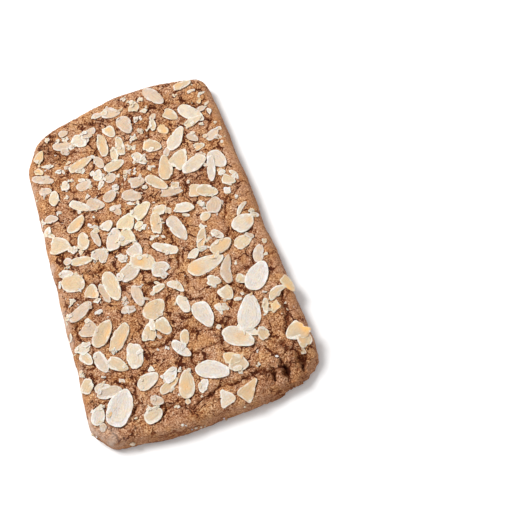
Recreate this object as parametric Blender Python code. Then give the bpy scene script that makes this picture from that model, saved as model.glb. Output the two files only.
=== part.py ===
"""Speculoos slab topped with flaked almonds, a faceted solid in one piece.

The slab lies flat: +Z up, +Y along its length, the origin under the middle of its box.
Sizes below are in millimetres and become metres in the last step.
"""

from math import atan2, cos, radians, sin, tau

import bmesh
import bpy
import numpy as np

METRES = 0.001

# Slab
SLAB_WIDTH = 117.0
SLAB_LENGTH = 206.0
SLAB_HEIGHT = 12.4
SHOULDER_REACH = 5.5  # how far in from the side the top starts to round over
SHOULDER_DROP = 4.6
FOOT_HEIGHT = 3.0  # the side bulges most at this height
BULGE = 0.9
FOOT_TUCK = 0.7  # the bottom edge is drawn in by this much
UNEVEN_SIZE, UNEVEN = 13.0, 0.55  # the outline wavers
RIPPLE_SIZE, RIPPLE = 5.0, 0.3  # and the side has ripples
RING_RADIUS = 60.0  # the circle along which both are drawn

# Outline, seen from above: x, y and rounding of each corner, from the near left round to the left side
LEFT, RIGHT = -SLAB_WIDTH / 2 - 0.7, SLAB_WIDTH / 2 - 0.7
NEAR, FAR = -SLAB_LENGTH / 2 + 1.5, SLAB_LENGTH / 2 + 1.5
CORNERS = (
    (LEFT + 8.7, NEAR + 5.5, 9.0),
    (-20.0, NEAR + 0.3, 60.0),
    (22.0, NEAR + 0.1, 50.0),
    (45.5, NEAR + 3.8, 10.0),
    (56.0, NEAR + 11.5, 8.0),
    (RIGHT - 0.2, NEAR + 19.0, 14.0),
    (RIGHT - 0.5, FAR - 9.0, 12.0),
    (28.0, FAR - 1.0, 60.0),
    (2.0, FAR, 50.0),
    (-38.0, FAR - 7.2, 26.0),
    (-50.5, FAR - 13.5, 14.0),
    (LEFT - 0.2, FAR - 31.5, 22.0),
    (LEFT + 0.9, NEAR + 15.5, 8.0),
)
# where the four sides of the top's grid meet
GRID_CORNERS = ((-54.5, -92.0), (51.5, -94.5), (54.5, 92.5), (-54.0, 85.0))

# Dough relief: how far across things are and how high or deep they go
SWELL_SIZE, SWELL = 31.0, 0.55  # slow rise and fall
PIECE_SIZE, PIECE_STEP = 12.5, 0.6  # the crust is broken into pieces
BIT_SIZE, BIT_STEP = 5.2, 0.35  # and those into bits
GRAIN_SIZE, GRAIN = 3.4, 0.22
SEAM_WIDTH, SEAM_DEPTH = 0.6, 1.5  # open seams between pieces
HAIRLINE_WIDTH, HAIRLINE_DEPTH = 0.45, 0.8  # and between bits
WORN_WIDTH, WORN = 1.1, 0.3  # pieces are worn round at their edges
WANDER_SIZE, WANDER = 7.0, 1.6  # seams wander this far from straight
FRAY_SIZE = 3.3  # the cracks that stand out widen and narrow over this length
RUBBLE_SIZE, RUBBLE, RUBBLE_SINK = 2.9, 1.3, 0.9  # where the crust has crumbled
CRUST_SEED = 40

# Cracks that stand out: half width, depth, then the points along it
CRACKS = (
    (
        0.9, 3.2,
        (-22, -92), (-19.5, -88.5), (-14, -89.5), (-9, -93.5), (-6, -93), (-2.5, -91), (2.5, -90.5),
        (8, -88),
    ),
    (0.9, 3.0, (8, -88), (12, -90), (18, -89), (23, -89.5), (28, -87.5), (34, -92)),
    (1.1, 3.4, (54, -41), (52.5, -48), (51.5, -55), (50.5, -60), (50, -65), (48, -70), (46.5, -74)),
    (1.1, 4.2, (42, -79.5), (43.5, -82.5), (46, -83.5), (47.5, -85.5), (48.2, -89), (47.8, -95)),
    (0.9, 3.6, (47.5, -85.5), (50.5, -85), (50.3, -88.5), (49.5, -92)),
    (0.8, 3.2, (39.2, -86.5), (38.6, -89.5), (40.4, -92.5), (39.2, -96)),
    (0.8, 3.0, (33.6, -88.5), (34.8, -91.5), (33.2, -94)),
    (0.9, 3.2, (25.5, -88.5), (28.5, -90.5), (31.5, -90), (34.8, -91.5)),
    (0.7, 2.2, (13, 18), (12, 13), (8.5, 9), (7, 4), (8, -3), (10, -10)),
    (0.9, 2.3, (-54, -30), (-50, -31.5), (-45, -29), (-41.5, -25)),
    (0.7, 2.0, (-51.5, -32), (-52, -40), (-50, -41.5)),
    (0.8, 2.2, (-45.5, -46), (-47, -50), (-47.5, -56), (-52, -57)),
    (0.7, 2.2, (25, 26), (23.5, 21), (21, 19.5), (16, 21)),
    (0.8, 2.3, (43, 9), (41, 5), (39.5, 1), (37, -6), (36.5, -13)),
    (0.7, 2.2, (47, 11), (49.5, 11), (52.5, 12.5)),
    (0.8, 2.3, (17, -61), (15.5, -67), (14.5, -72), (18, -74)),
    (0.8, 2.3, (24.5, -57), (22.5, -57), (20, -61)),
    (
        0.7, 2.2,
        (-22, -56), (-17, -58), (-12, -58), (-8, -55.5), (-2.5, -53), (2, -54), (5, -60), (0, -66),
        (-1, -75),
    ),
    (0.9, 2.5, (-53, 83), (-45, 79), (-36, 75.5), (-28, 73), (-22, 70.5), (-20, 64)),
    (0.9, 2.6, (-18, 91), (-13, 87.5), (-8, 86.5), (0, 84.5), (9, 85)),
    (0.7, 2.0, (51, 72), (53, 66), (50, 59), (47, 56), (46, 45)),
    (0.7, 2.0, (-57, 15), (-52.5, 12.5), (-50, 8), (-50.5, 3)),
    (0.8, 2.2, (-44, 0), (-42, -7), (-41, -12), (-35, -13)),
    (0.8, 2.4, (-40, -3), (-37, -5.5), (-34, -6.5), (-31, -5), (-27, -7.5), (-24, -12)),
    (0.7, 2.0, (-26, 26), (-28, 18), (-29, 12), (-26, 5), (-22, -3)),
    (0.7, 2.0, (-22, 14), (-16, 18), (-9, 23), (-3, 24), (1, 27)),
    (0.8, 2.2, (-36, -86), (-31, -82), (-32, -74), (-36, -71)),
    (0.7, 2.0, (20, -36), (27, -40), (31, -41), (34, -46), (38, -51)),
    (0.7, 2.0, (8, -24), (9.5, -30), (7, -36), (8, -41), (13, -42)),
    (0.7, 2.0, (-13, -24), (-9, -24), (-4, -24.5), (3, -23), (7, -20), (8, -14)),
)

# Crumbling places: x, y, half width, half length, roughness
CRUMBLING = (
    (44.0, -86.0, 14.0, 10.0, 0.8),
    (-38.0, 72.5, 17.0, 6.0, 0.9),
    (5.0, -69.0, 13.0, 6.5, 0.8),
    (-35.0, -68.0, 8.0, 5.0, 0.6),
    (36.0, -79.0, 12.0, 7.0, 0.7),
    (38.0, 82.0, 13.0, 8.0, 0.6),
    (-31.0, -4.5, 11.0, 4.0, 0.7),
    (2.0, -89.5, 20.0, 3.0, 0.7),
    (5.0, 27.0, 7.0, 6.0, 0.5),
)

# The near right corner has broken down: where it drops and how far, and the lumps that stand in it, each
# along a line from x, y to x, y, with a half width and the share of the drop that it fills
BROKEN_X, BROKEN_Y, BROKEN_WIDTH, BROKEN_LENGTH = 43.0, -99.0, 22.0, 14.0
BROKEN_DROP, BROKEN_STEEPNESS = 4.2, 2.6
BROKEN_RIPPLE = 2.5  # and its side is so much rougher
LUMPS = (
    (36.6, -86.0, 35.6, -97.0, 2.5, 0.85),
    (42.6, -86.0, 44.2, -96.5, 3.4, 0.95),
    (53.0, -84.5, 51.6, -94.0, 2.3, 1.0),
    (27.0, -95.0, 30.0, -97.0, 4.6, 0.6),
    (31.8, -87.0, 31.4, -92.0, 1.6, 0.7),
    (56.0, -84.0, 55.6, -89.5, 1.5, 0.6),
)

# Almond flakes
FLAKE_THICKNESS = 1.1
FLAKE_SIDES = 9
ROOT_DEPTH = 2.0  # how far a flake's solid reaches down into the dough
STEEPEST = 0.45
MAP_CELL = 0.5
FLAKE_SEED = 700
OVAL, HALF, PLANK, SHARD, CRESCENT, WEDGE = "oval", "half", "plank", "shard", "crescent", "wedge"

# Mesh
TOP_STEP = 1.3
SHOULDER_RINGS = 4
WALL_RINGS = 3
SLAB_FACES = 4400
FLAT_BELOW = 0.4  # the base is flat up to here

# The middle of the finished solid's box
MIDDLE_X, MIDDLE_Y = -0.67, 1.37

DOUGH_COLOUR = (0.36, 0.17, 0.075)
ALMOND_COLOUR = (0.83, 0.68, 0.47)

# The larger flakes as they lie, later ones on earlier ones: x, y, length, width, turn in degrees, cut
FLAKES = (
    (-49.5, 77.5, 10.5, 5, 60, HALF),
    (-34.5, 79.5, 13, 5.5, -20, PLANK),
    (-21.3, 79, 11, 5.5, 80, HALF),
    (-25, 79, 12, 8, -50, HALF),
    (-27, 62.5, 16, 6.5, 18, OVAL),
    (-2.5, 90.5, 11.5, 7.5, -20, OVAL),
    (11.5, 88.5, 8, 6.5, 50, HALF),
    (-18, 82, 10, 6, 30, OVAL),
    (-6.5, 78.5, 11, 6.5, -68, HALF),
    (3.4, 79, 15, 8.4, -80, OVAL),
    (-12.3, 69.8, 16.5, 6, 87, PLANK),
    (-3, 65.5, 14, 5.2, 88, PLANK),
    (24.5, 92, 16.5, 7.8, -62, OVAL),
    (41.5, 92, 14, 5, 2, HALF),
    (29.5, 75, 12, 7, -55, HALF),
    (41.5, 70.3, 19, 8.5, -55, OVAL),
    (23, 66.5, 10, 5.5, -60, HALF),
    (-50.5, 61.8, 14, 5, -35, PLANK),
    (-46.5, 47, 10, 6, 80, OVAL),
    (-28.5, 48, 9, 6.5, 10, OVAL),
    (-34, 35.8, 14, 5.5, -42, PLANK),
    (-25.5, 33.5, 11, 8, -30, OVAL),
    (-7.5, 61, 11, 5, 85, HALF),
    (-9.5, 54, 13, 6.5, 10, OVAL),
    (5.2, 52.5, 11.5, 5.5, -60, OVAL),
    (13.5, 58, 13.5, 8, -30, HALF),
    (-1, 38, 11, 7, -5, HALF),
    (-16.5, 35.5, 9, 6.5, 40, OVAL),
    (-5, 30.5, 12, 7, -35, OVAL),
    (15.2, 24.6, 14.5, 6, -18, HALF),
    (10, 33, 16, 6.5, -52, OVAL),
    (28.5, 57, 17, 8, 50, OVAL),
    (40, 63.8, 13, 5.5, 10, HALF),
    (48.5, 51, 9, 6.5, 30, OVAL),
    (17.2, 40.3, 16.8, 8, 82, OVAL),
    (25.6, 42.3, 16, 9.8, 50, HALF),
    (32.6, 35.9, 15.5, 9, 200, OVAL),
    (45.8, 33.7, 13.8, 9, -65, OVAL),
    (40.8, 29.3, 17, 4.8, 75, PLANK),
    (-50.3, 16.3, 14, 10, -25, HALF),
    (-38.3, 25.5, 12.5, 7, 38, OVAL),
    (-36.9, 14, 11.8, 6.8, 85, OVAL),
    (-23, 17.5, 8.5, 6.5, 35, HALF),
    (-40.4, 2.6, 12.3, 5.4, -14, OVAL),
    (-30.3, 1.8, 10, 9, 30, HALF),
    (-21, 8, 15, 8.3, 72, OVAL),
    (-47.3, -8.6, 13.5, 10.8, -45, OVAL),
    (-12.2, -2.8, 10.5, 8.2, -70, HALF),
    (-12.3, 15.5, 12.5, 9.5, 50, SHARD),
    (-14.3, 6.3, 12.5, 9, 80, HALF),
    (-7.2, 9.5, 8.5, 6.5, -20, SHARD),
    (-3.5, 19, 15, 8.5, 32, HALF),
    (6.3, 15.3, 9.5, 6.5, -5, PLANK),
    (2.9, 8, 14, 6.3, 80, PLANK),
    (12.7, 0.8, 18, 7.5, -72, OVAL),
    (3.5, -8.3, 15.5, 5.6, -38, PLANK),
    (28.6, 19.5, 11, 8.5, -25, HALF),
    (34.5, 16.5, 12.5, 7.5, -35, OVAL),
    (19, 11.5, 13, 6.5, -20, HALF),
    (46.7, 18.5, 9.5, 6, -35, HALF),
    (35.1, 6.4, 10.8, 8.6, 62, OVAL),
    (46.2, -10, 13, 10, 20, OVAL),
    (-39.7, -17.3, 10.5, 7.6, 78, HALF),
    (-33.2, -20.5, 13, 4, -78, OVAL),
    (-28.6, -18.5, 19, 8.2, -80, OVAL),
    (-47.4, -25.4, 14.5, 6.8, 28, OVAL),
    (-45.8, -36.5, 11, 9, -40, HALF),
    (-39.5, -41.5, 16, 8.5, 48, OVAL),
    (-17.6, -14.1, 12.2, 9, 20, OVAL),
    (-9.8, -11, 14.5, 9.2, -27, PLANK),
    (-2.3, -18.2, 10.2, 8.5, 5, OVAL),
    (-17.4, -28.5, 13.3, 5.8, -82, OVAL),
    (-11.3, -38.8, 13, 10, 25, OVAL),
    (3.3, -42, 11, 5.6, -76, OVAL),
    (20.2, -25.3, 19.5, 10, 3, OVAL),
    (22.6, -10.7, 13.5, 5, 68, PLANK),
    (31, -18.2, 12.5, 8.2, 15, OVAL),
    (41.7, -20.4, 12, 7.6, 5, HALF),
    (29.8, -32.5, 16.3, 6, 75, CRESCENT),
    (20.8, -35.5, 9.3, 5.6, -20, HALF),
    (47.6, -29.8, 10.8, 5.8, 62, OVAL),
    (42.8, -41.8, 17, 11.3, 45, OVAL),
    (25, -43.8, 10.8, 7.2, -65, HALF),
    (-50.8, -45.3, 8.6, 7, 30, PLANK),
    (-43.6, -55.5, 13.5, 6.2, -75, PLANK),
    (-37, -59.3, 13.5, 6.5, -42, HALF),
    (-32, -46.8, 16, 8.2, 52, PLANK),
    (-27.2, -58.9, 14, 8.6, 78, PLANK),
    (-53.2, -65, 8.8, 6.8, 45, PLANK),
    (-43.5, -71.8, 12.5, 6.2, -5, OVAL),
    (-51.3, -81, 9.5, 6.8, 72, OVAL),
    (-40.2, -81, 19, 12.2, 57, OVAL),
    (-24.2, -73.3, 11.5, 8, 20, OVAL),
    (-17.3, -50.2, 11.5, 7.2, 72, HALF),
    (-10, -48.7, 12.5, 7, -62, HALF),
    (-4.6, -63.9, 12, 5.6, -58, OVAL),
    (11.2, -51, 16, 9.2, -78, OVAL),
    (28.8, -67.2, 12.5, 5, -42, OVAL),
    (32.6, -58.7, 19.5, 11.5, 66, OVAL),
    (23.4, -68.9, 17.5, 9.2, -44, OVAL),
    (49.2, -53.4, 12, 4.6, 24, CRESCENT),
    (46, -60.4, 8.8, 6.6, 58, SHARD),
    (55.4, -50.3, 12.5, 5.4, -74, HALF),
    (35.4, -72, 8.8, 5.8, 100, HALF),
    (-15.2, -79.3, 11.5, 4.8, 22, OVAL),
    (-13.8, -74.8, 10.8, 6.4, 36, HALF),
    (-7.2, -81.7, 14.2, 8, 76, OVAL),
    (16.6, -77.6, 12, 6, -28, HALF),
    (18.9, -81.2, 11, 8.4, -35, HALF),
    (6.9, -80, 17, 9.2, -30, OVAL),
    (-26.2, -90.2, 9.4, 7.6, 10, OVAL),
    (9.5, -93.5, 9.5, 8.4, 100, WEDGE),
    (20.6, -95.2, 12.8, 7.4, 36, HALF),
    (52.8, -81.8, 8, 7, -85, PLANK),
    (51.2, -76.3, 13, 10, 192, HALF),
)


def lattice(i, j, seed):
    """A repeatable random value from 0 to 1 at each point of a whole-number grid."""
    n = (i * 374761393 + j * 668265263 + seed * 362437) & 0xFFFFFFFF
    n = ((n ^ (n >> 13)) * 1274126177) & 0xFFFFFFFF
    return ((n ^ (n >> 16)) & 0xFFFFFF) / 0xFFFFFF


def noise(x, y, size, seed):
    """Smooth bumps about `size` across, from -1 to 1."""
    u, v = x / size, y / size
    i, j = np.floor(u).astype(np.int64), np.floor(v).astype(np.int64)
    s, t = u - i, v - j
    s, t = s * s * (3 - 2 * s), t * t * (3 - 2 * t)
    low = lattice(i, j, seed) * (1 - s) + lattice(i + 1, j, seed) * s
    high = lattice(i, j + 1, seed) * (1 - s) + lattice(i + 1, j + 1, seed) * s
    return 2 * (low * (1 - t) + high * t) - 1


def fractal(x, y, size, octaves, seed):
    """Bumps of several sizes together, each half as big as the last and turned against it."""
    total, share = 0.0, 1.0
    for octave in range(octaves):
        total = total + share * noise(x, y, size, seed + octave)
        x, y = 0.8 * x - 0.6 * y, 0.6 * x + 0.8 * y
        size, share = size / 2, share / 2
    return total


def crumbs(x, y, size, seed):
    """Distance to the border between pieces about `size` across, and each piece's own value."""
    u, v = x / size, y / size
    i, j = np.floor(u).astype(np.int64), np.floor(v).astype(np.int64)
    nearest = np.full(np.shape(u), 9.0)
    second = nearest.copy()
    value = np.zeros(np.shape(u))
    for di in (-1, 0, 1):
        for dj in (-1, 0, 1):
            a, b = i + di, j + dj
            own = lattice(a, b, seed + 2)
            middle_x = a + 0.1 + 0.8 * lattice(a, b, seed)
            middle_y = b + 0.1 + 0.8 * lattice(a, b, seed + 1)
            away = np.hypot(middle_x - u, middle_y - v)
            closer = away < nearest
            second = np.where(closer, nearest, np.minimum(second, away))
            value = np.where(closer, own, value)
            nearest = np.minimum(nearest, away)
    return (second - nearest) * size / 2, value


def to_segment(x, y, start, end):
    """Distance from points to a straight line between two places."""
    dx, dy = end[0] - start[0], end[1] - start[1]
    along = np.clip(((x - start[0]) * dx + (y - start[1]) * dy) / (dx * dx + dy * dy), 0, 1)
    return np.hypot(x - start[0] - along * dx, y - start[1] - along * dy)


def crumbling(x, y):
    """How far the crust has crumbled, from 0 to about 1.5."""
    total = 0.0
    for cx, cy, half_width, half_length, strength in CRUMBLING:
        away = np.hypot((x - cx) / half_width, (y - cy) / half_length)
        total = np.maximum(total, strength * np.clip(1.6 - 1.2 * away, 0, 1))
    return total


def broken(x, y):
    """How much a place belongs to the broken corner, from 0 to 1."""
    away = np.hypot((x - BROKEN_X) / BROKEN_WIDTH, (y - BROKEN_Y) / BROKEN_LENGTH)
    return np.clip(BROKEN_STEEPNESS * (1 - away), 0, 1)


def broken_corner(x, y):
    """Height of the broken corner over the whole crust, with its standing lumps."""
    standing = 0.0
    for start_x, start_y, end_x, end_y, half_width, tall in LUMPS:
        beside = to_segment(x, y, (start_x, start_y), (end_x, end_y)) / half_width
        standing = np.maximum(standing, tall * np.sqrt(np.clip(1 - beside**2, 0, 1)))
    return BROKEN_DROP * broken(x, y) * (standing - 1)


def relief(x, y):
    """How far the crust stands above or below its mean height, and how open its cracks are."""
    wx = x + WANDER * fractal(x, y, WANDER_SIZE, 4, CRUST_SEED)
    wy = y + WANDER * fractal(x, y, WANDER_SIZE, 4, CRUST_SEED + 10)
    rough = crumbling(x, y)
    border, piece = crumbs(wx, wy, PIECE_SIZE, CRUST_SEED + 20)
    bit_border, bit = crumbs(wx, wy, BIT_SIZE, CRUST_SEED + 30)
    open_seams = np.clip(0.45 + 1.3 * fractal(x, y, 11.0, 2, CRUST_SEED + 40), 0, 1)
    open_hairlines = np.clip(0.25 + 0.8 * noise(x, y, 11.0, CRUST_SEED + 41) + rough, 0, 1)
    seams = open_seams * np.clip(1 - border / SEAM_WIDTH, 0, 1)
    hairlines = open_hairlines * np.clip(1 - bit_border / HAIRLINE_WIDTH, 0, 1)
    depth = np.maximum(SEAM_DEPTH * seams**0.7, HAIRLINE_DEPTH * hairlines**0.8)
    opening = np.maximum(seams, 0.8 * hairlines)
    frayed = 1 + 0.45 * fractal(x, y, FRAY_SIZE, 2, CRUST_SEED + 45)
    for half_width, deepest, *points in CRACKS:
        for start, end in zip(points, points[1:]):
            away = to_segment(0.6 * wx + 0.4 * x, 0.6 * wy + 0.4 * y, start, end)
            mine = np.clip(frayed - away / half_width, 0, 1)
            depth = np.maximum(depth, deepest * mine**0.7)
            opening = np.maximum(opening, mine)
    height = SWELL * noise(x, y, SWELL_SIZE, CRUST_SEED + 50)
    height = height + PIECE_STEP * (piece - 0.5) + BIT_STEP * (bit - 0.5)
    height = height + GRAIN * fractal(x, y, GRAIN_SIZE, 3, CRUST_SEED + 60)
    height = height - WORN * np.exp(-border / WORN_WIDTH)
    height = height - rough * (RUBBLE_SINK + RUBBLE * noise(wx, wy, RUBBLE_SIZE, CRUST_SEED + 70))
    height = height + broken_corner(0.4 * wx + 0.6 * x, 0.4 * wy + 0.6 * y)
    return height - depth, opening


def rounded(corners, step=0.25):
    """Points every `step` or so round a polygon with rounded corners, and the way out at each."""
    sharp = np.array([corner[:2] for corner in corners])
    points = []
    for k, (x, y, radius) in enumerate(corners):
        before = sharp[k - 1] - (x, y)
        after = sharp[(k + 1) % len(corners)] - (x, y)
        before, after = before / np.hypot(*before), after / np.hypot(*after)
        half = np.arccos(before @ after) / 2
        centre = sharp[k] + (before + after) / np.hypot(*(before + after)) * radius / np.sin(half)
        first, last = (sharp[k] + side * radius / np.tan(half) - centre for side in (before, after))
        start = atan2(first[1], first[0])
        sweep = (atan2(last[1], last[0]) - start) % tau
        angles = start + np.linspace(0, sweep, max(4, int(radius * sweep / step)))
        points.append(centre + radius * np.stack([np.cos(angles), np.sin(angles)], 1))
    loop = np.concatenate(points)
    closed = np.concatenate([loop, loop[:1]])
    length = np.concatenate([[0], np.cumsum(np.hypot(*np.diff(closed, axis=0).T))])
    places = np.arange(0, length[-1], step)
    loop = np.stack([np.interp(places, length, closed[:, axis]) for axis in (0, 1)], 1)
    ahead = np.roll(loop, -3, 0) - np.roll(loop, 3, 0)
    out = np.stack([ahead[:, 1], -ahead[:, 0]], 1) / np.hypot(*ahead.T)[:, None]
    around = places / length[-1] * tau
    ring_x, ring_y = RING_RADIUS * np.cos(around), RING_RADIUS * np.sin(around)
    uneven = UNEVEN * fractal(ring_x, ring_y, UNEVEN_SIZE, 4, CRUST_SEED + 80)
    return loop + out * uneven[:, None], out


OUTLINE, OUTWARD = rounded(CORNERS)


def edge_distance(x, y):
    """How far inside the outline each point is; points outside it come out negative."""
    flat_x, flat_y = np.ravel(x), np.ravel(y)
    result = np.empty(len(flat_x))
    sparse, out = OUTLINE[::4], OUTWARD[::4]
    for k in range(0, len(flat_x), 4096):
        dx = flat_x[k : k + 4096, None] - sparse[None, :, 0]
        dy = flat_y[k : k + 4096, None] - sparse[None, :, 1]
        nearest = np.argmin(dx * dx + dy * dy, axis=1)
        row = np.arange(len(nearest))
        result[k : k + 4096] = -(dx[row, nearest] * out[nearest, 0] + dy[row, nearest] * out[nearest, 1])
    return result.reshape(np.shape(x))


def shoulder(inset):
    """How far the top has rounded down at a distance inside the widest line."""
    near = np.clip((inset - BULGE) / SHOULDER_REACH, 0, 1)
    return SHOULDER_DROP * (1 - np.sqrt(1 - (1 - near) ** 2))


def slice_outline(length, width, cut, draw, count):
    """Outline of an almond slice round its own middle, its narrow end along +x."""
    angle = np.arange(count) * tau / count
    taper = draw.uniform(0.10, 0.30)
    slant = draw.uniform(-0.45, 0.45)
    waves = [(k, draw.uniform(-0.035, 0.035), draw.uniform(0, tau)) for k in (2, 3, 5)]
    wavy = 1 + sum(size * np.cos(k * angle + turn) for k, size, turn in waves)
    x = length / 2 * np.cos(angle) * wavy
    y = width / 2 * np.sin(angle) * (1 - taper * np.cos(angle)) * wavy
    if cut == HALF:
        snapped = -0.35 * length + slant * y
        x = np.where(x < snapped, snapped + 0.12 * (x - snapped), x)
    elif cut == PLANK:
        x = length / 2 * np.sign(np.cos(angle)) * np.abs(np.cos(angle)) ** 0.7 * wavy
        y = width / 2 * np.sign(np.sin(angle)) * np.abs(np.sin(angle)) ** 0.75 * wavy
        x = x + 0.5 * slant * y
    elif cut == SHARD:
        corners = draw.integers(4, 6)
        at = (np.arange(corners) + draw.uniform(-0.25, 0.25, corners)) * tau / corners
        at = at + draw.uniform(0, tau)
        reach = draw.uniform(0.85, 1.15, corners)
        corner_x, corner_y = length / 2 * reach * np.cos(at), width / 2 * reach * np.sin(at)
        place = np.arange(count) * corners / count
        k = place.astype(int)
        x = corner_x[k] + (place - k) * (corner_x[(k + 1) % corners] - corner_x[k])
        y = corner_y[k] + (place - k) * (corner_y[(k + 1) % corners] - corner_y[k])
    elif cut == WEDGE:
        y = y * (0.63 - 1.25 * x / length)
    elif cut == CRESCENT:
        y = y + width * (0.15 - 1.4 * (x / length) ** 2)
    return np.stack([x, y], 1)


def draw_for(x, y):
    """The random draws of the flake at a place, the same however many flakes there are."""
    return np.random.default_rng((FLAKE_SEED, round(10 * x) + 1000, round(10 * y) + 1000))


def own_axes(x, y, flake):
    """Points in a flake's own directions, from its middle."""
    turn = radians(flake[4])
    dx, dy = x - flake[0], y - flake[1]
    return dx * cos(turn) + dy * sin(turn), dy * cos(turn) - dx * sin(turn)


def lay_flakes(flakes):
    """Each flake's plane as it lies on what is under it: height at its middle, and slope in x and y."""
    xs = np.arange(LEFT - 4, RIGHT + 4, MAP_CELL)
    ys = np.arange(NEAR - 4, FAR + 4, MAP_CELL)
    x, y = np.meshgrid(xs, ys)
    inset = edge_distance(x, y)
    ground = SLAB_HEIGHT + relief(x, y)[0] - shoulder(inset)
    planes = []
    for flake in flakes:
        cx, cy, length, width = flake[:4]
        reach = length / 2 + 1
        rows = slice(*np.searchsorted(ys, (cy - reach, cy + reach)))
        columns = slice(*np.searchsorted(xs, (cx - reach, cx + reach)))
        px, py, under = x[rows, columns], y[rows, columns], ground[rows, columns]
        u, v = own_axes(px, py, flake)
        covered = (2 * u / length) ** 2 + (2 * v / width) ** 2 < 1.0
        holding = covered & (inset[rows, columns] > 1.2)
        if holding.sum() < 4:
            holding = covered
        spots = np.stack([np.ones(holding.sum()), px[holding] - cx, py[holding] - cy], 1)
        fit = np.linalg.lstsq(spots, under[holding], rcond=None)[0]
        slope = fit[1:] * min(1, STEEPEST / max(1e-6, np.hypot(*fit[1:])))
        slope = slope + draw_for(cx, cy).normal(0, 0.025, 2)
        rest = np.percentile(under[holding] - spots[:, 1:] @ slope, 60)
        top = rest + FLAKE_THICKNESS
        planes.append((top, *slope))
        upper = top + slope[0] * (px - cx) + slope[1] * (py - cy)
        under[covered] = np.maximum(under, upper)[covered]
    return planes


def press_dough(x, y, height, flakes, planes):
    """Lowers the dough under the flakes to just inside them."""
    for flake, (top, slope_x, slope_y) in zip(flakes, planes):
        u, v = own_axes(x, y, flake)
        under = (2 * u / flake[2]) ** 2 + (2 * v / flake[3]) ** 2 < 1.0
        lower = top - FLAKE_THICKNESS / 2 + slope_x * (x - flake[0]) + slope_y * (y - flake[1])
        height = np.where(under, np.minimum(height, lower), height)
    return height


def side_places(count_across, count_along):
    """Where the grid's edge points sit on the outline, from the near left corner round."""
    starts = [int(np.argmin(np.hypot(*(OUTLINE - corner).T))) for corner in GRID_CORNERS]
    places = []
    for k, start in enumerate(starts):
        end = starts[(k + 1) % 4]
        end += len(OUTLINE) if end <= start else 0
        count = (count_across, count_along)[k % 2]
        places.append(start + (end - start) * np.arange(count) / count)
    return np.concatenate(places).astype(int) % len(OUTLINE)


def top_grid(rim, count_across, count_along):
    """Points spread evenly over the flat of the top, between the four sides of its rim."""
    near, right = rim[: count_across + 1], rim[count_across : count_across + count_along + 1]
    back = count_across + count_along
    far = rim[back : back + count_across + 1][::-1]
    left = np.concatenate([rim[back + count_across :], rim[:1]])[::-1]
    u = np.linspace(0, 1, count_across + 1)[None, :, None]
    v = np.linspace(0, 1, count_along + 1)[:, None, None]
    along = (1 - v) * near[None] + v * far[None]
    across = (1 - u) * left[:, None] + u * right[:, None]
    corners = (1 - v) * ((1 - u) * near[0] + u * near[-1]) + v * ((1 - u) * far[0] + u * far[-1])
    return along + across - corners


def side_profile():
    """Inset from the widest line, height lost and share of the top's relief, shoulder to foot."""
    rings = []
    for angle in np.radians(np.linspace(0, 90, SHOULDER_RINGS + 1)[1:]):
        inset = BULGE + SHOULDER_REACH * (1 - sin(angle))
        rings.append((inset, SHOULDER_DROP * (1 - cos(angle)), cos(angle)))
    wall = SLAB_HEIGHT - SHOULDER_DROP
    for share in np.linspace(0, 1, WALL_RINGS + 1)[1:]:
        height = wall + share * (FOOT_HEIGHT - wall)
        rings.append((BULGE * (1 - sin(share * tau / 4)), SLAB_HEIGHT - height, 0.0))
    rings.append((0.25 * FOOT_TUCK, SLAB_HEIGHT - 0.3 * FOOT_HEIGHT, 0.0))
    rings.append((FOOT_TUCK, SLAB_HEIGHT, 0.0))
    return rings


def make_slab(flakes, planes):
    """The dough alone, as a closed mesh with a flat base."""
    across, along = int(SLAB_WIDTH / TOP_STEP), int(SLAB_LENGTH / TOP_STEP)
    places = side_places(across, along)
    edge, out = OUTLINE[places], OUTWARD[places]
    grid = top_grid(edge - out * (SHOULDER_REACH + BULGE), across, along)
    x, y = grid[..., 0], grid[..., 1]
    height = press_dough(x, y, SLAB_HEIGHT + relief(x, y)[0], flakes, planes)
    made = bmesh.new()
    rows = [[made.verts.new(p) for p in row] for row in np.dstack([grid, height])]
    for low, high in zip(rows, rows[1:]):
        for k in range(across):
            made.faces.new((low[k], low[k + 1], high[k + 1], high[k]))
    left, right = [row[0] for row in rows], [row[-1] for row in rows]
    rim = rows[0][:-1] + right[:-1] + rows[-1][:0:-1] + left[:0:-1]
    around = places / len(OUTLINE) * tau
    for inset, lost, share in side_profile():
        x, y = (edge - out * inset).T
        ripple_x, ripple_y = RING_RADIUS * np.cos(around) + lost, RING_RADIUS * np.sin(around) - lost
        ripple = RIPPLE * fractal(ripple_x, ripple_y, RIPPLE_SIZE, 3, CRUST_SEED + 90)
        ripple = ripple * (1 + BROKEN_RIPPLE * broken(x, y)) * (1 - share) * (lost < SLAB_HEIGHT)
        height = SLAB_HEIGHT - lost + share * relief(x, y)[0]
        if share > 0.05:
            height = press_dough(x, y, height, flakes, planes)
        ring = [made.verts.new(p) for p in zip(x + out[:, 0] * ripple, y + out[:, 1] * ripple, height)]
        for k in range(len(ring)):
            made.faces.new((rim[k - 1], ring[k - 1], ring[k], rim[k]))
        rim = ring
    made.faces.new(rim[::-1])
    bmesh.ops.recalc_face_normals(made, faces=made.faces)
    return made


def material(name, colour, roughness):
    made = bpy.data.materials.new(name)
    made.use_nodes = True
    shader = made.node_tree.nodes["Principled BSDF"]
    shader.inputs["Base Color"].default_value = (*colour, 1)
    shader.inputs["Roughness"].default_value = roughness
    made.diffuse_color = (*colour, 1)
    return made


def new_object(name, made, look, collection):
    """An object in metres from a bmesh in millimetres."""
    bmesh.ops.scale(made, vec=(METRES,) * 3, verts=made.verts)
    mesh = bpy.data.meshes.new(name)
    made.to_mesh(mesh)
    made.free()
    mesh.materials.append(look)
    obj = bpy.data.objects.new(name, mesh)
    collection.objects.link(obj)
    return obj


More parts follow.
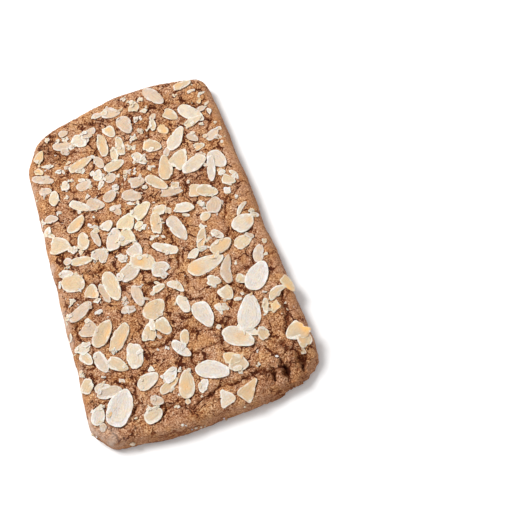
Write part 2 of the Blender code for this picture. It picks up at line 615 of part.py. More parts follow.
def make_flake(flake, plane):
    """One almond slice as a solid with its root in the dough."""
    cx, cy, length, width, turn, cut = flake
    top, slope_x, slope_y = plane
    made = bmesh.new()
    corners = []
    for u, v in slice_outline(length, width, cut, draw_for(cx, cy), FLAKE_SIDES):
        dx = u * cos(radians(turn)) - v * sin(radians(turn))
        dy = u * sin(radians(turn)) + v * cos(radians(turn))
        corners.append(made.verts.new((cx + dx, cy + dy, top + slope_x * dx + slope_y * dy)))
    face = made.faces.new(corners)
    root = bmesh.ops.extrude_face_region(made, geom=[face])
    moved = [item for item in root["geom"] if isinstance(item, bmesh.types.BMVert)]
    bmesh.ops.translate(made, vec=(0, 0, -FLAKE_THICKNESS - ROOT_DEPTH), verts=moved)
    bmesh.ops.recalc_face_normals(made, faces=made.faces)
    return made


def applied(obj):
    """Replaces an object's mesh with what its modifiers make of it."""
    graph = bpy.context.evaluated_depsgraph_get()
    mesh = bpy.data.meshes.new_from_object(obj.evaluated_get(graph))
    obj.modifiers.clear()
    obj.data = mesh


def keep_outside(mesh):
    """Drops every shell but the largest, which fills sealed hollows and takes loose scraps away."""
    made = bmesh.new()
    made.from_mesh(mesh)
    shells, left = [], set(made.verts)
    while left:
        shell, edge = set(), [left.pop()]
        while edge:
            vertex = edge.pop()
            shell.add(vertex)
            beside = {side.other_vert(vertex) for side in vertex.link_edges} & left
            left -= beside
            edge.extend(beside)
        shells.append(shell)
    shells.sort(key=len)
    for shell in shells[:-1]:
        bmesh.ops.delete(made, geom=list(shell), context="VERTS")
    made.to_mesh(mesh)
    made.free()


def main():
    for obj in list(bpy.data.objects):
        bpy.data.objects.remove(obj)
    dough = material("baked_dough", DOUGH_COLOUR, 0.85)
    almond = material("almond", ALMOND_COLOUR, 0.55)

    planes = lay_flakes(FLAKES)
    cookie = new_object("cookie", make_slab(FLAKES, planes), dough, bpy.context.scene.collection)
    fewer = cookie.modifiers.new("fewer_faces", "DECIMATE")
    fewer.ratio = SLAB_FACES / (2 * len(cookie.data.polygons))
    applied(cookie)
    for vertex in cookie.data.vertices:
        if vertex.co.z < FLAT_BELOW * METRES:
            vertex.co.z = 0

    slices = bpy.data.collections.new("slices")
    bpy.context.scene.collection.children.link(slices)
    for k, (flake, plane) in enumerate(zip(FLAKES, planes)):
        new_object(f"slice_{k}", make_flake(flake, plane), almond, slices)
    join = cookie.modifiers.new("join", "BOOLEAN")
    join.operation = "UNION"
    join.operand_type = "COLLECTION"
    join.collection = slices
    join.solver = "MANIFOLD"
    applied(cookie)
    for obj in list(slices.objects):
        bpy.data.objects.remove(obj)
    bpy.data.collections.remove(slices)
    keep_outside(cookie.data)

    for vertex in cookie.data.vertices:
        vertex.co.x -= MIDDLE_X * METRES
        vertex.co.y -= MIDDLE_Y * METRES


main()
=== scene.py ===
from collections import namedtuple
from math import atan2, cos, pi, radians, sin, tau
from types import SimpleNamespace

import bpy
import numpy as np
from mathutils import Matrix, Vector


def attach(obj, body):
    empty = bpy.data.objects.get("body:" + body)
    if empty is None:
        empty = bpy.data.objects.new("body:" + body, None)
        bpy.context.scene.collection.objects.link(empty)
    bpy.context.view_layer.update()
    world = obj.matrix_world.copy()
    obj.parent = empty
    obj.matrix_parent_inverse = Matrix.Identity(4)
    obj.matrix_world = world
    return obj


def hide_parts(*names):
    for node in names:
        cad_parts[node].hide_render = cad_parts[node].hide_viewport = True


# Looks of the speculoos slab: the baked dough, every almond flake as its own slice, and crumbs.
# Places and sizes are in millimetres on the drawing of the slab, whose origin is off the frame's by
# MIDDLE; `to_frame` turns them into the frame's metres.

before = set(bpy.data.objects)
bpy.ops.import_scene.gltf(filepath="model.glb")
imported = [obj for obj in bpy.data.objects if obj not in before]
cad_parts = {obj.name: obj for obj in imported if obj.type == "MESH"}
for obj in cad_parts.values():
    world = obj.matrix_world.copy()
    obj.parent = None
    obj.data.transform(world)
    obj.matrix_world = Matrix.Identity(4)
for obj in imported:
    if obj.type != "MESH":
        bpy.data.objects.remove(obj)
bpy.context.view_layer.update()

METRES = 0.001
MIDDLE = (-0.67, 1.37, 0.0)

# Slab
SLAB_WIDTH = 117.0
SLAB_LENGTH = 206.0
SLAB_HEIGHT = 12.4
SHOULDER_REACH = 5.5  # how far in from the side the top starts to round over
SHOULDER_DROP = 4.6
FOOT_HEIGHT = 3.0  # the side bulges most at this height
BULGE = 0.9
FOOT_TUCK = 0.7  # the bottom edge is drawn in by this much
UNEVEN_SIZE, UNEVEN = 13.0, 0.55  # the outline wavers
RIPPLE_SIZE, RIPPLE = 5.0, 0.3  # and the side has ripples
PIT_SIZE, PIT_FROM, PIT = 2.3, 0.45, 0.6  # and pits
RING_RADIUS = 60.0  # the circle along which the wavering and the ripples are drawn

# Outline, seen from above: x, y and rounding of each corner, from the near left round to the left side
LEFT, RIGHT = -SLAB_WIDTH / 2 - 0.7, SLAB_WIDTH / 2 - 0.7
NEAR, FAR = -SLAB_LENGTH / 2 + 1.5, SLAB_LENGTH / 2 + 1.5
CORNERS = (
    (LEFT + 8.7, NEAR + 5.5, 9.0), (-20.0, NEAR + 0.3, 60.0), (22.0, NEAR + 0.1, 50.0),
    (45.5, NEAR + 3.8, 10.0), (56.0, NEAR + 11.5, 8.0), (RIGHT - 0.2, NEAR + 19.0, 14.0),
    (RIGHT - 0.5, FAR - 9.0, 12.0), (28.0, FAR - 1.0, 60.0), (2.0, FAR, 50.0),
    (-38.0, FAR - 7.2, 26.0), (-50.5, FAR - 13.5, 14.0), (LEFT - 0.2, FAR - 31.5, 22.0),
    (LEFT + 0.9, NEAR + 15.5, 8.0),
)
GRID_CORNERS = ((-54.5, -92.0), (51.5, -94.5), (54.5, 92.5), (-54.0, 85.0))  # of the grid over the top

# Dough relief: how far across things are and how high or deep they go
CRUST_SEED = 40
SWELL_SIZE, SWELL = 31.0, 0.55  # slow rise and fall
PIECE_SIZE, PIECE_STEP = 12.5, 0.6  # the crust is broken into pieces
BIT_SIZE, BIT_STEP = 5.2, 0.35  # and those into bits
GRAIN_SIZE, GRAIN = 3.4, 0.22
SEAM_WIDTH, SEAM_DEPTH = 0.6, 1.5  # open seams between pieces
HAIRLINE_WIDTH, HAIRLINE_DEPTH = 0.45, 0.8  # and between bits
OPEN_SIZE = 11.0  # over this length they open and close
WORN_WIDTH, WORN = 1.1, 0.3  # pieces are worn round at their edges
WANDER_SIZE, WANDER = 7.0, 1.6  # seams wander this far from straight
CRACK_WANDER, LUMP_WANDER = 0.6, 0.4  # and cracks and lumps this share of it
FRAY_SIZE, FRAY = 3.3, 0.45  # cracks widen and narrow
CRACK_ROUND, HAIRLINE_ROUND = 0.7, 0.8  # less than 1 is round at the bottom
RUBBLE_SIZE, RUBBLE, RUBBLE_SINK = 2.9, 1.3, 0.9  # where the crust has crumbled

# Cracks that stand out: a half width and a depth, then the points along each crack that has them
CRACKS = (
    (
        0.7, 2.0,
        ((-51.5, -32), (-52, -40), (-50, -41.5)), ((51, 72), (53, 66), (50, 59), (47, 56), (46, 45)),
        ((-57, 15), (-52.5, 12.5), (-50, 8), (-50.5, 3)),
        ((-26, 26), (-28, 18), (-29, 12), (-26, 5), (-22, -3)),
        ((-22, 14), (-16, 18), (-9, 23), (-3, 24), (1, 27)),
        ((20, -36), (27, -40), (31, -41), (34, -46), (38, -51)),
        ((8, -24), (9.5, -30), (7, -36), (8, -41), (13, -42)),
        ((-13, -24), (-9, -24), (-4, -24.5), (3, -23), (7, -20), (8, -14)),
    ),
    (
        0.7, 2.2,
        ((13, 18), (12, 13), (8.5, 9), (7, 4), (8, -3), (10, -10)),
        ((25, 26), (23.5, 21), (21, 19.5), (16, 21)), ((47, 11), (49.5, 11), (52.5, 12.5)),
        (
            (-22, -56), (-17, -58), (-12, -58), (-8, -55.5), (-2.5, -53), (2, -54), (5, -60), (0, -66),
            (-1, -75),
        ),
    ),
    (
        0.8, 2.2,
        ((-45.5, -46), (-47, -50), (-47.5, -56), (-52, -57)), ((-44, 0), (-42, -7), (-41, -12), (-35, -13)),
        ((-36, -86), (-31, -82), (-32, -74), (-36, -71)),
    ),
    (
        0.8, 2.3,
        ((43, 9), (41, 5), (39.5, 1), (37, -6), (36.5, -13)),
        ((17, -61), (15.5, -67), (14.5, -72), (18, -74)), ((24.5, -57), (22.5, -57), (20, -61)),
    ),
    (0.8, 2.4, ((-40, -3), (-37, -5.5), (-34, -6.5), (-31, -5), (-27, -7.5), (-24, -12))),
    (0.8, 3.0, ((33.6, -88.5), (34.8, -91.5), (33.2, -94))),
    (0.8, 3.2, ((39.2, -86.5), (38.6, -89.5), (40.4, -92.5), (39.2, -96))),
    (0.9, 2.3, ((-54, -30), (-50, -31.5), (-45, -29), (-41.5, -25))),
    (0.9, 2.5, ((-53, 83), (-45, 79), (-36, 75.5), (-28, 73), (-22, 70.5), (-20, 64))),
    (0.9, 2.6, ((-18, 91), (-13, 87.5), (-8, 86.5), (0, 84.5), (9, 85))),
    (0.9, 3.0, ((8, -88), (12, -90), (18, -89), (23, -89.5), (28, -87.5), (34, -92))),
    (
        0.9, 3.2,
        (
            (-22, -92), (-19.5, -88.5), (-14, -89.5), (-9, -93.5), (-6, -93), (-2.5, -91), (2.5, -90.5),
            (8, -88),
        ),
        ((25.5, -88.5), (28.5, -90.5), (31.5, -90), (34.8, -91.5)),
    ),
    (0.9, 3.6, ((47.5, -85.5), (50.5, -85), (50.3, -88.5), (49.5, -92))),
    (1.1, 3.4, ((54, -41), (52.5, -48), (51.5, -55), (50.5, -60), (50, -65), (48, -70), (46.5, -74))),
    (1.1, 4.2, ((42, -79.5), (43.5, -82.5), (46, -83.5), (47.5, -85.5), (48.2, -89), (47.8, -95))),
)

# Crumbling places: x, y, half width, half length, roughness
CRUMBLING = (
    (44.0, -86.0, 14.0, 10.0, 0.8), (-38.0, 72.5, 17.0, 6.0, 0.9), (5.0, -69.0, 13.0, 6.5, 0.8),
    (-35.0, -68.0, 8.0, 5.0, 0.6), (36.0, -79.0, 12.0, 7.0, 0.7), (38.0, 82.0, 13.0, 8.0, 0.6),
    (-31.0, -4.5, 11.0, 4.0, 0.7), (2.0, -89.5, 20.0, 3.0, 0.7), (5.0, 27.0, 7.0, 6.0, 0.5),
)

# The near right corner has broken down: x, y, half width and half length of the place, how far it drops
# and how steeply, and the lumps that stand in it, each along a line from x, y to x, y, with a half width
# and the share of the drop that it fills
BROKEN_PLACE = (43.0, -99.0, 22.0, 14.0)
BROKEN_DROP, BROKEN_STEEPNESS = 4.2, 2.6
BROKEN_RIPPLE = 2.5  # its side is so much rougher
BROKEN_PAINTED_SHADE = 2.0  # its colour is so much darker, painted shade of the sunken broken corner
LUMPY_SIZE, LUMPY = 3.6, 0.5  # and lumpier
LUMPS = (
    (36.6, -86.0, 35.6, -97.0, 2.5, 0.85), (42.6, -86.0, 44.2, -96.5, 3.4, 0.95),
    (53.0, -84.5, 51.6, -94.0, 2.3, 1.0), (27.0, -95.0, 30.0, -97.0, 4.6, 0.6),
    (31.8, -87.0, 31.4, -92.0, 1.6, 0.7), (56.0, -84.0, 55.6, -89.5, 1.5, 0.6),
)

# Thinner cracks, written in the same way
FINE_CRACKS = (
    (0.4, 1.0, ((6, -97.5), (9, -98.5), (13, -97.5), (15, -99))),
    (0.4, 1.1, ((-26.5, -67), (-22, -68), (-19, -68.5)), ((-42.5, -62.5), (-42.8, -66))),
    (
        0.45, 1.2,
        ((4, -60.5), (9, -60), (14, -60.5)), ((38, -73.5), (41, -76)),
        ((32.5, 31), (33, 28), (32, 25.3), (29, 24.5), (25, 24.8)), ((-34, 20), (-30, 18.8), (-28.5, 19)),
    ),
    (
        0.5, 1.3,
        ((-31.5, -75), (-32, -79), (-33, -83), (-35, -86)), ((-31.5, -68), (-31, -72.5)),
        ((-35, -24.5), (-32, -28.5)), ((-30, -33.5), (-27, -31)), ((-36.3, -13), (-36.8, -20)),
        ((42.5, 22), (42, 18), (43, 14.5)),
    ),
    (
        0.5, 1.4,
        ((15.5, -57.5), (18, -59.5), (20, -60), (20, -62)), ((22, -56.5), (21, -59.5), (20, -60.5)),
        ((0, -67), (3, -69), (5, -68), (9, -67.5), (14, -67)), ((2, -72.5), (6, -73), (9, -72)),
        ((-9.5, -92.5), (-8.5, -96), (-7.3, -98.5)), ((-14.5, -66), (-16.5, -68), (-17.5, -70.5)),
        ((-22.5, -46), (-22, -51), (-21, -56)), ((-49.8, -62), (-50.2, -65), (-51, -68)),
        ((28.3, 2), (28.5, -3), (27.3, -8)),
        ((-13, -24), (-13.5, -29), (-15.5, -34), (-18.5, -37.5), (-18, -43)),
        ((49.5, 40), (50, 36), (50.8, 31)), ((45, 46.2), (49, 46.8), (52, 48.5)),
        ((-45.5, 44), (-44.5, 41), (-41.5, 38), (-38, 34), (-35, 30.5)),
        ((-34, 31), (-31, 29.3), (-25.5, 28.5), (-22, 30)), ((-54, 31.5), (-50, 31), (-46.5, 33)),
        ((-20, 32), (-16, 31.5), (-13, 33), (-12, 36)), ((36, 90), (41, 89.5), (47, 91)),
        ((20, 85), (23, 82.5), (28, 82.5)), ((-20, 78), (-19.5, 71.5)),
        ((-41, 59.5), (-37, 58.5), (-34, 60.5)), ((-36.5, 62), (-36, 57)),
        ((-57, 61), (-53, 59), (-50.5, 56.5)), ((-20, 60), (-21, 55), (-25, 52)),
    ),
    (0.5, 1.5, ((12, -30.5), (17, -32), (22, -31), (27.5, -28.8)), ((-13, -15.5), (-9, -17.5), (-6.5, -18))),
    (
        0.6, 1.5,
        ((-53, -76), (-51, -74.5), (-48, -75.5), (-45, -76)),
        ((-20.5, -90), (-21.5, -92.5), (-25, -94.5), (-29, -92.5)),
    ),
    (
        0.6, 1.6,
        ((-9, -44.5), (-7, -47.5), (-6, -51), (-6.5, -54.5)), ((11, -13), (9.5, -17), (9, -21)),
        ((-25.8, -10), (-24.5, -16), (-23, -19.5), (-18, -20.5)), ((-7, -34), (-4.8, -38), (-5.5, -43)),
        ((16, 49), (13.8, 44), (13, 40), (14.5, 35), (17, 32), (20, 32.5), (23, 33.5)),
        ((23, 33.5), (27, 37), (29.5, 39.5)), ((48, 10.5), (45.5, 7.5), (43.5, 5.5)),
        ((34, 51), (33.3, 46), (34.5, 43.5), (41, 43.3)), ((-43.5, 20), (-43, 16), (-42.8, 13.5)),
        ((-37, 49), (-36, 44.5), (-36, 41), (-32.5, 37.5), (-30.5, 34)),
        ((41, 78.5), (44, 74.5), (46.5, 73.5)), ((10, 66), (14, 64.5), (19, 65.5)),
        ((7.8, 83), (8, 77), (6.5, 73)), ((-41, 89.5), (-39, 88), (-38.5, 84.5)),
        ((-51, 81.8), (-47, 83), (-43, 82)),
    ),
    (
        0.6, 1.7,
        ((30.7, -34.5), (33.5, -36), (38, -35.8), (41, -34)),
        ((47.5, 69), (48.5, 65), (49.5, 61.5), (48.5, 57.5), (46, 56)),
        ((-13, 80), (-15.3, 75), (-16, 68), (-18.5, 62.5), (-20, 57)),
    ),
    (0.6, 1.8, ((-3.5, 82), (-2, 78), (-2.3, 74))),
    (0.7, 1.8, ((32, 96.5), (36, 95.5), (40, 95.8))),
    (
        0.7, 1.9,
        ((41, 88), (39.5, 84), (39, 80.5), (35, 78.5), (32, 79)),
        ((33, 77), (34.5, 72), (37, 68), (33, 67.5), (30, 66)),
        ((-44.5, 66), (-45, 61), (-46.5, 56), (-46.7, 52.5)),
    ),
    (0.7, 2.0, ((50.5, -15.5), (48.5, -18), (48.8, -22), (46, -25.5), (44, -28.5), (43.3, -33))),
    (
        0.8, 2.2,
        ((-47, 41), (-46.3, 35), (-44.8, 29), (-44.5, 25), (-45, 22)),
        ((27, 97), (29, 93), (30, 88), (29.5, 84)),
    ),
    (0.8, 2.4, ((-38.5, -93.5), (-38, -96), (-36.8, -98.5), (-36.3, -101))),
)

# The finest crumb of the crust
FINE_WANDER_SIZE, FINE_WANDER = 2.4, 0.7
FLATTEN = 0.5  # the share of the broad relief that is left
FILL_SIZE, CRACK_FILL = 1.9, 0.8  # crumbs lie in the cracks
CRACK_NARROWING, WIDEST_CRACK = 1.7, 0.75
CRACK_FRAY_SIZE, CRACK_FRAY = 2.1, 0.5
CRUMB_SIZE, CRUMB, CRUMB_BORDER, CRUMB_GAP = 1.9, 0.18, 0.3, 0.13
CREASE_SIZE, CREASE_WIDTH, CREASE = 2.7, 0.14, 0.12
FINEST_SIZE, FINEST = 1.3, 0.07
FLAKY_SIZE, FLAKY_EDGE, FLAKY_SHARE = 8.0, 0.2, 0.3  # where the skin of the crust is whole
SUNKEN, TORN = 0.22, 0.12  # how much lower it is where the skin is gone, and at the skin's edge
SMOOTH_BAND = 6.0  # how far in from the left and right sides the crust is smooth
BAND_FROM, BAND_END, BAND_FADE = 35.0, 88.0, 5.0  # from this far aside, to this far along
# Pieces of smooth crust, and the corner with pale dust and painted sheen: x, y, half width and half length
SMOOTH_PIECES = (
    (-20.0, -97.5, 15.0, 4.0), (6.0, -63.5, 7.0, 4.0), (11.5, -35.0, 6.0, 5.0), (32.0, -5.0, 6.0, 6.5),
    (37.0, -30.0, 6.5, 4.5), (-51.0, 24.0, 4.5, 4.5), (-4.0, -13.0, 6.0, 4.0), (-36.5, 46.0, 5.0, 4.0),
)
PALE_CORNER = (-53.0, -94.0, 9.0, 7.0)
PALE_FROM, PALE_FADE, PALE_DOWN, PALE_SIZE = -45.0, 8.0, 11.0, 6.0  # the left side has it too

# Almond: each tint has the colour of the cut, how much of it is toasted, the percentile of the ground
# under a flake that it lies at, and how bright its rim is, a pale rim that is partly painted highlight
Tint = namedtuple("Tint", "colour toasting above rim")
WHITE = Tint((0.73, 0.717, 0.715), 0.15, 76, 1.0)
PALE = Tint((0.735, 0.692, 0.627), 0.35, 62, 0.95)
CREAM = Tint((0.70, 0.615, 0.485), 0.55, 62, 0.95)
BUTTER = Tint((0.76, 0.70, 0.545), 0.35, 62, 1.0)
TOASTED = Tint((0.67, 0.565, 0.425), 1.1, 62, 0.85)
GOLDEN = Tint((0.74, 0.58, 0.355), 1.7, 66, 0.5)
WET = Tint((0.655, 0.555, 0.475), 0.4, 48, 0.6)
CLEAR = Tint((0.69, 0.635, 0.59), 0.25, 55, 0.9)
OVAL, HALF, PLANK, SHARD, CRESCENT, WEDGE = "oval", "half", "plank", "shard", "crescent", "wedge"

# All flakes as they lie, later ones on earlier ones: x, y, length, width, turn in degrees, cut, tint
FLAKES = (
    (-51.5, 68.5, 7, 4.5, -50, HALF, GOLDEN), (-49.5, 77.5, 10.5, 5, 60, HALF, GOLDEN),
    (-45, 69.5, 10, 3.5, -20, SHARD, PALE), (-34.5, 79.5, 13, 5.5, -20, PLANK, WET),
    (-31.5, 83.5, 5, 4, 0, SHARD, PALE), (-21.3, 79, 11, 5.5, 80, HALF, WET),
    (-25, 79, 12, 8, -50, HALF, PALE), (-42.5, 87.5, 7, 3.5, 55, SHARD, CREAM), (-32, 88, 6, 5, 0, OVAL, WET),
    (-40, 63.5, 6, 5, 30, SHARD, WHITE), (-33, 67, 5, 3.5, 0, SHARD, TOASTED),
    (-35, 63.5, 4, 4, 60, SHARD, WET), (-27, 62.5, 16, 6.5, 18, OVAL, TOASTED),
    (-10.5, 92.5, 7, 4, -15, OVAL, WET), (-2.5, 90.5, 11.5, 7.5, -20, OVAL, WET),
    (3.3, 90, 3.5, 2.5, 70, SHARD, GOLDEN), (11.5, 93, 6, 4.5, -30, SHARD, PALE),
    (11.5, 88.5, 8, 6.5, 50, HALF, TOASTED), (7.5, 97, 5.5, 3.5, -50, SHARD, CREAM),
    (-18, 82, 10, 6, 30, OVAL, WET), (-6.5, 78.5, 11, 6.5, -68, HALF, TOASTED),
    (3.4, 79, 15, 8.4, -80, OVAL, WET), (-12.3, 69.8, 16.5, 6, 87, PLANK, TOASTED),
    (-3, 65.5, 14, 5.2, 88, PLANK, CREAM), (10.5, 80.5, 6, 4.5, 60, SHARD, PALE),
    (6, 68, 7.5, 5, 50, SHARD, PALE), (11, 70.5, 5, 4, 0, SHARD, CREAM), (16, 84, 6, 4, -15, SHARD, CREAM),
    (16.5, 93, 6, 2.5, -60, SHARD, CREAM), (24.5, 92, 16.5, 7.8, -62, OVAL, WET),
    (41.5, 92, 14, 5, 2, HALF, TOASTED), (36, 87, 4.5, 2.8, -80, SHARD, CREAM),
    (46, 85.3, 8, 3.2, 0, SHARD, PALE), (50.5, 81.3, 7, 2.5, 10, SHARD, PALE),
    (48, 76.3, 4.5, 4, 0, SHARD, GOLDEN), (52.3, 73.5, 4.5, 3.5, 0, SHARD, CREAM),
    (29.5, 75, 12, 7, -55, HALF, TOASTED), (48, 71, 5, 4, 0, OVAL, WET),
    (41.5, 70.3, 19, 8.5, -55, OVAL, PALE), (51.5, 66, 8, 3.5, 80, SHARD, PALE),
    (23, 66.5, 10, 5.5, -60, HALF, GOLDEN), (20, 77.5, 5, 4, 30, OVAL, WET),
    (18.5, 72, 9, 4, 85, PLANK, CREAM), (16, 71.5, 8, 4, 40, SHARD, PALE),
    (-50.5, 61.8, 14, 5, -35, PLANK, WET), (-51, 53.5, 9, 5, -10, HALF, WET),
    (-46.5, 47, 10, 6, 80, OVAL, CREAM), (-39, 51.5, 8.5, 5.2, 80, HALF, PALE),
    (-39.5, 44.5, 5, 4.5, 0, SHARD, PALE), (-34.5, 54.5, 5, 3.5, -60, SHARD, PALE),
    (-28.5, 58, 7, 4, -15, SHARD, PALE), (-28.5, 48, 9, 6.5, 10, OVAL, WET),
    (-29.5, 51.5, 7, 4, -20, SHARD, PALE), (-34, 35.8, 14, 5.5, -42, PLANK, PALE),
    (-25.5, 33.5, 11, 8, -30, OVAL, WET), (-28.5, 40, 6.5, 5, 60, SHARD, PALE),
    (-50.5, 34, 8, 5, -20, OVAL, WET), (-46.5, 37, 5.5, 2, 75, SHARD, PALE),
    (-56, 34.5, 8, 2.8, 85, SHARD, PALE), (-54.5, 27, 7, 5, 60, HALF, PALE),
    (-19.5, 51.5, 8, 5.5, 70, OVAL, PALE), (-19.5, 44.5, 7, 4.5, 60, SHARD, PALE),
    (-17, 59.5, 9.5, 5, -70, OVAL, WET), (-7.5, 61, 11, 5, 85, HALF, CREAM),
    (-9.5, 54, 13, 6.5, 10, OVAL, CREAM), (5.2, 52.5, 11.5, 5.5, -60, OVAL, PALE),
    (9, 43.5, 7.5, 3.5, 75, SHARD, PALE), (13.5, 58, 13.5, 8, -30, HALF, TOASTED),
    (2.5, 62.5, 7, 2.5, -55, SHARD, CREAM), (-13.5, 47, 7, 6.5, 20, OVAL, WET),
    (-9, 46.5, 5, 3, 75, SHARD, CREAM), (-5, 44, 7.5, 3, 75, SHARD, WET),
    (0.8, 45.5, 6, 1.2, -65, SHARD, CREAM), (-12, 39.5, 6, 2.8, -5, SHARD, WET),
    (-1, 38, 11, 7, -5, HALF, WET), (-16.5, 35.5, 9, 6.5, 40, OVAL, WET), (-5, 30.5, 12, 7, -35, OVAL, WET),
    (3, 33, 4, 3.5, 0, SHARD, PALE), (15.2, 24.6, 14.5, 6, -18, HALF, WET),
    (10, 33, 16, 6.5, -52, OVAL, TOASTED), (-15.5, 25.5, 7.5, 5, -65, OVAL, WET),
    (28.5, 57, 17, 8, 50, OVAL, PALE), (40, 63.8, 13, 5.5, 10, HALF, CREAM),
    (44.5, 60.5, 6.5, 3.2, -10, SHARD, PALE), (37.5, 53.5, 8, 4.5, -50, OVAL, WET),
    (38.5, 46.5, 8, 5, 5, HALF, TOASTED), (48.5, 51, 9, 6.5, 30, OVAL, WET),
    (52.5, 58, 3.5, 2.5, 40, SHARD, CREAM), (17.2, 40.3, 16.8, 8, 82, OVAL, TOASTED),
    (25.6, 42.3, 16, 9.8, 50, HALF, CREAM), (21, 50.5, 7, 4, 60, OVAL, WET),
    (37.8, 40.3, 6.5, 4, -15, OVAL, WET), (32.6, 35.9, 15.5, 9, 200, OVAL, PALE),
    (45.8, 33.7, 13.8, 9, -65, OVAL, CLEAR), (40.8, 29.3, 17, 4.8, 75, PLANK, WHITE),
    (44.5, 26, 7, 4.5, 60, SHARD, TOASTED), (-53, 24.5, 8, 4, -50, SHARD, CREAM),
    (-50.3, 16.3, 14, 10, -25, HALF, CREAM), (-38.3, 25.5, 12.5, 7, 38, OVAL, TOASTED),
    (-36.9, 14, 11.8, 6.8, 85, OVAL, CREAM), (-28.2, 26.3, 3, 2.6, 0, SHARD, WHITE),
    (-30.5, 20.3, 5.5, 1.8, -25, SHARD, WHITE), (-30, 12.5, 11, 4, -80, OVAL, WET),
    (-23, 17.5, 8.5, 6.5, 35, HALF, PALE), (-43.8, 10.3, 7, 3.4, 55, SHARD, PALE),
    (-41.6, 10.7, 6, 2.4, 72, SHARD, PALE), (-47.8, 5.5, 5.5, 4.5, -50, OVAL, WET),
    (-48.8, 2.2, 3, 2.2, 80, SHARD, PALE), (-40.4, 2.6, 12.3, 5.4, -14, OVAL, CREAM),
    (-30.3, 1.8, 10, 9, 30, HALF, CLEAR), (-21, 8, 15, 8.3, 72, OVAL, CLEAR),
    (-50.5, -1.5, 9.5, 5, -22, HALF, CLEAR), (-54.7, -6, 6.5, 3, 75, SHARD, PALE),
    (-47.3, -8.6, 13.5, 10.8, -45, OVAL, TOASTED), (-44.9, -14.2, 2.8, 3, 0, SHARD, WHITE),
    (-12.2, -2.8, 10.5, 8.2, -70, HALF, CLEAR), (-12.3, 15.5, 12.5, 9.5, 50, HALF, BUTTER),
    (-14.3, 6.3, 12.5, 9, 80, HALF, BUTTER), (-7.2, 9.5, 8.5, 6.5, -20, SHARD, BUTTER),
    (-3.5, 19, 15, 8.5, 32, HALF, BUTTER), (6.3, 15.3, 9.5, 6.5, -5, PLANK, CREAM),
    (2.9, 8, 14, 6.3, 80, PLANK, TOASTED), (0.5, 0.8, 8.5, 2.2, -18, SHARD, PALE),
    (-19.3, -5.2, 9.5, 4, -65, WEDGE, CLEAR), (12.7, 0.8, 18, 7.5, -72, OVAL, CLEAR),
    (3.5, -8.3, 15.5, 5.6, -38, PLANK, PALE), (5.3, 21.7, 3, 1.8, -40, SHARD, PALE),
    (26.5, 26.5, 3.4, 2.6, 20, SHARD, PALE), (28.6, 19.5, 11, 8.5, -25, HALF, TOASTED),
    (34.5, 16.5, 12.5, 7.5, -35, OVAL, CREAM), (19, 11.5, 13, 6.5, -20, HALF, PALE),
    (46.7, 18.5, 9.5, 6, -35, HALF, CREAM), (51.3, 20.3, 8, 2.6, -68, CRESCENT, PALE),
    (44.7, 12.3, 5.2, 4.6, -20, PLANK, WHITE), (47.8, 6.3, 5.5, 2.5, 80, SHARD, WET),
    (29.6, 9.7, 5.5, 4.5, -30, SHARD, PALE), (35.1, 6.4, 10.8, 8.6, 62, OVAL, WET),
    (28.8, 1.8, 6.5, 5.2, 15, OVAL, CREAM), (25.2, -3.8, 6, 4.4, -50, SHARD, PALE),
    (48, -1.3, 10, 2.6, 42, CRESCENT, PALE), (52.2, -5, 6.5, 2.5, 75, SHARD, CREAM),
    (46.2, -10, 13, 10, 20, OVAL, PALE), (-50.8, -18, 6, 5, 40, SHARD, PALE),
    (-54.8, -25, 7, 2, 80, SHARD, CREAM), (-37.8, -22.5, 7, 4.4, -35, SHARD, PALE),
    (-39.7, -17.3, 10.5, 7.6, 78, HALF, TOASTED), (-33.2, -20.5, 13, 4, -78, OVAL, WET),
    (-28.6, -18.5, 19, 8.2, -80, OVAL, CREAM), (-24.5, -28.3, 6, 4, 50, SHARD, WET),
    (-47.4, -25.4, 14.5, 6.8, 28, OVAL, WET), (-38, -28.6, 6, 2, 35, SHARD, CREAM),
    (-24.3, -34, 9, 4.5, -20, HALF, WET), (-45.8, -36.5, 11, 9, -40, HALF, WET),
    (-39.5, -41.5, 16, 8.5, 48, OVAL, TOASTED), (-55.5, -37.5, 7, 2, 85, SHARD, PALE),
    (-17.6, -14.1, 12.2, 9, 20, OVAL, CLEAR), (-9.8, -11, 14.5, 9.2, -27, PLANK, CREAM),
    (-2.3, -18.2, 10.2, 8.5, 5, OVAL, CLEAR), (-17.4, -28.5, 13.3, 5.8, -82, OVAL, WET),
    (-14.6, -24, 3, 2, 60, SHARD, WHITE), (-6.8, -28.5, 8.5, 4.6, 10, HALF, CREAM),
    (2.4, -31, 11, 4.4, -48, CRESCENT, PALE), (-11.3, -38.8, 13, 10, 25, OVAL, TOASTED),
    (-0.7, -39.8, 3.6, 3.2, 0, SHARD, GOLDEN), (3.3, -42, 11, 5.6, -76, OVAL, PALE),
    (16, -17.3, 8.5, 5, 35, HALF, PALE), (20.2, -25.3, 19.5, 10, 3, OVAL, PALE),
    (22.6, -10.7, 13.5, 5, 68, PLANK, TOASTED), (24.8, -16.2, 3.5, 2, -60, SHARD, PALE),
    (31.3, -11, 8.2, 4.2, -48, OVAL, CLEAR), (31, -18.2, 12.5, 8.2, 15, OVAL, TOASTED),
    (41.7, -20.4, 12, 7.6, 5, HALF, CREAM), (53, -24.3, 4.2, 3.4, 70, SHARD, CREAM),
    (29.8, -32.5, 16.3, 6, 75, CRESCENT, WET), (20.8, -35.5, 9.3, 5.6, -20, HALF, PALE),
    (47.6, -29.8, 10.8, 5.8, 62, OVAL, WET), (50.6, -31.5, 3.5, 2.4, 0, SHARD, CREAM),
    (34.6, -39.8, 8, 5, -48, HALF, CREAM), (42.8, -41.8, 17, 11.3, 45, OVAL, WHITE),
    (25, -43.8, 10.8, 7.2, -65, HALF, CREAM), (-50.3, -51.3, 8.5, 5.4, -62, OVAL, CREAM),
    (-50.8, -45.3, 8.6, 7, 30, PLANK, PALE), (-43.6, -55.5, 13.5, 6.2, -75, PLANK, CLEAR),
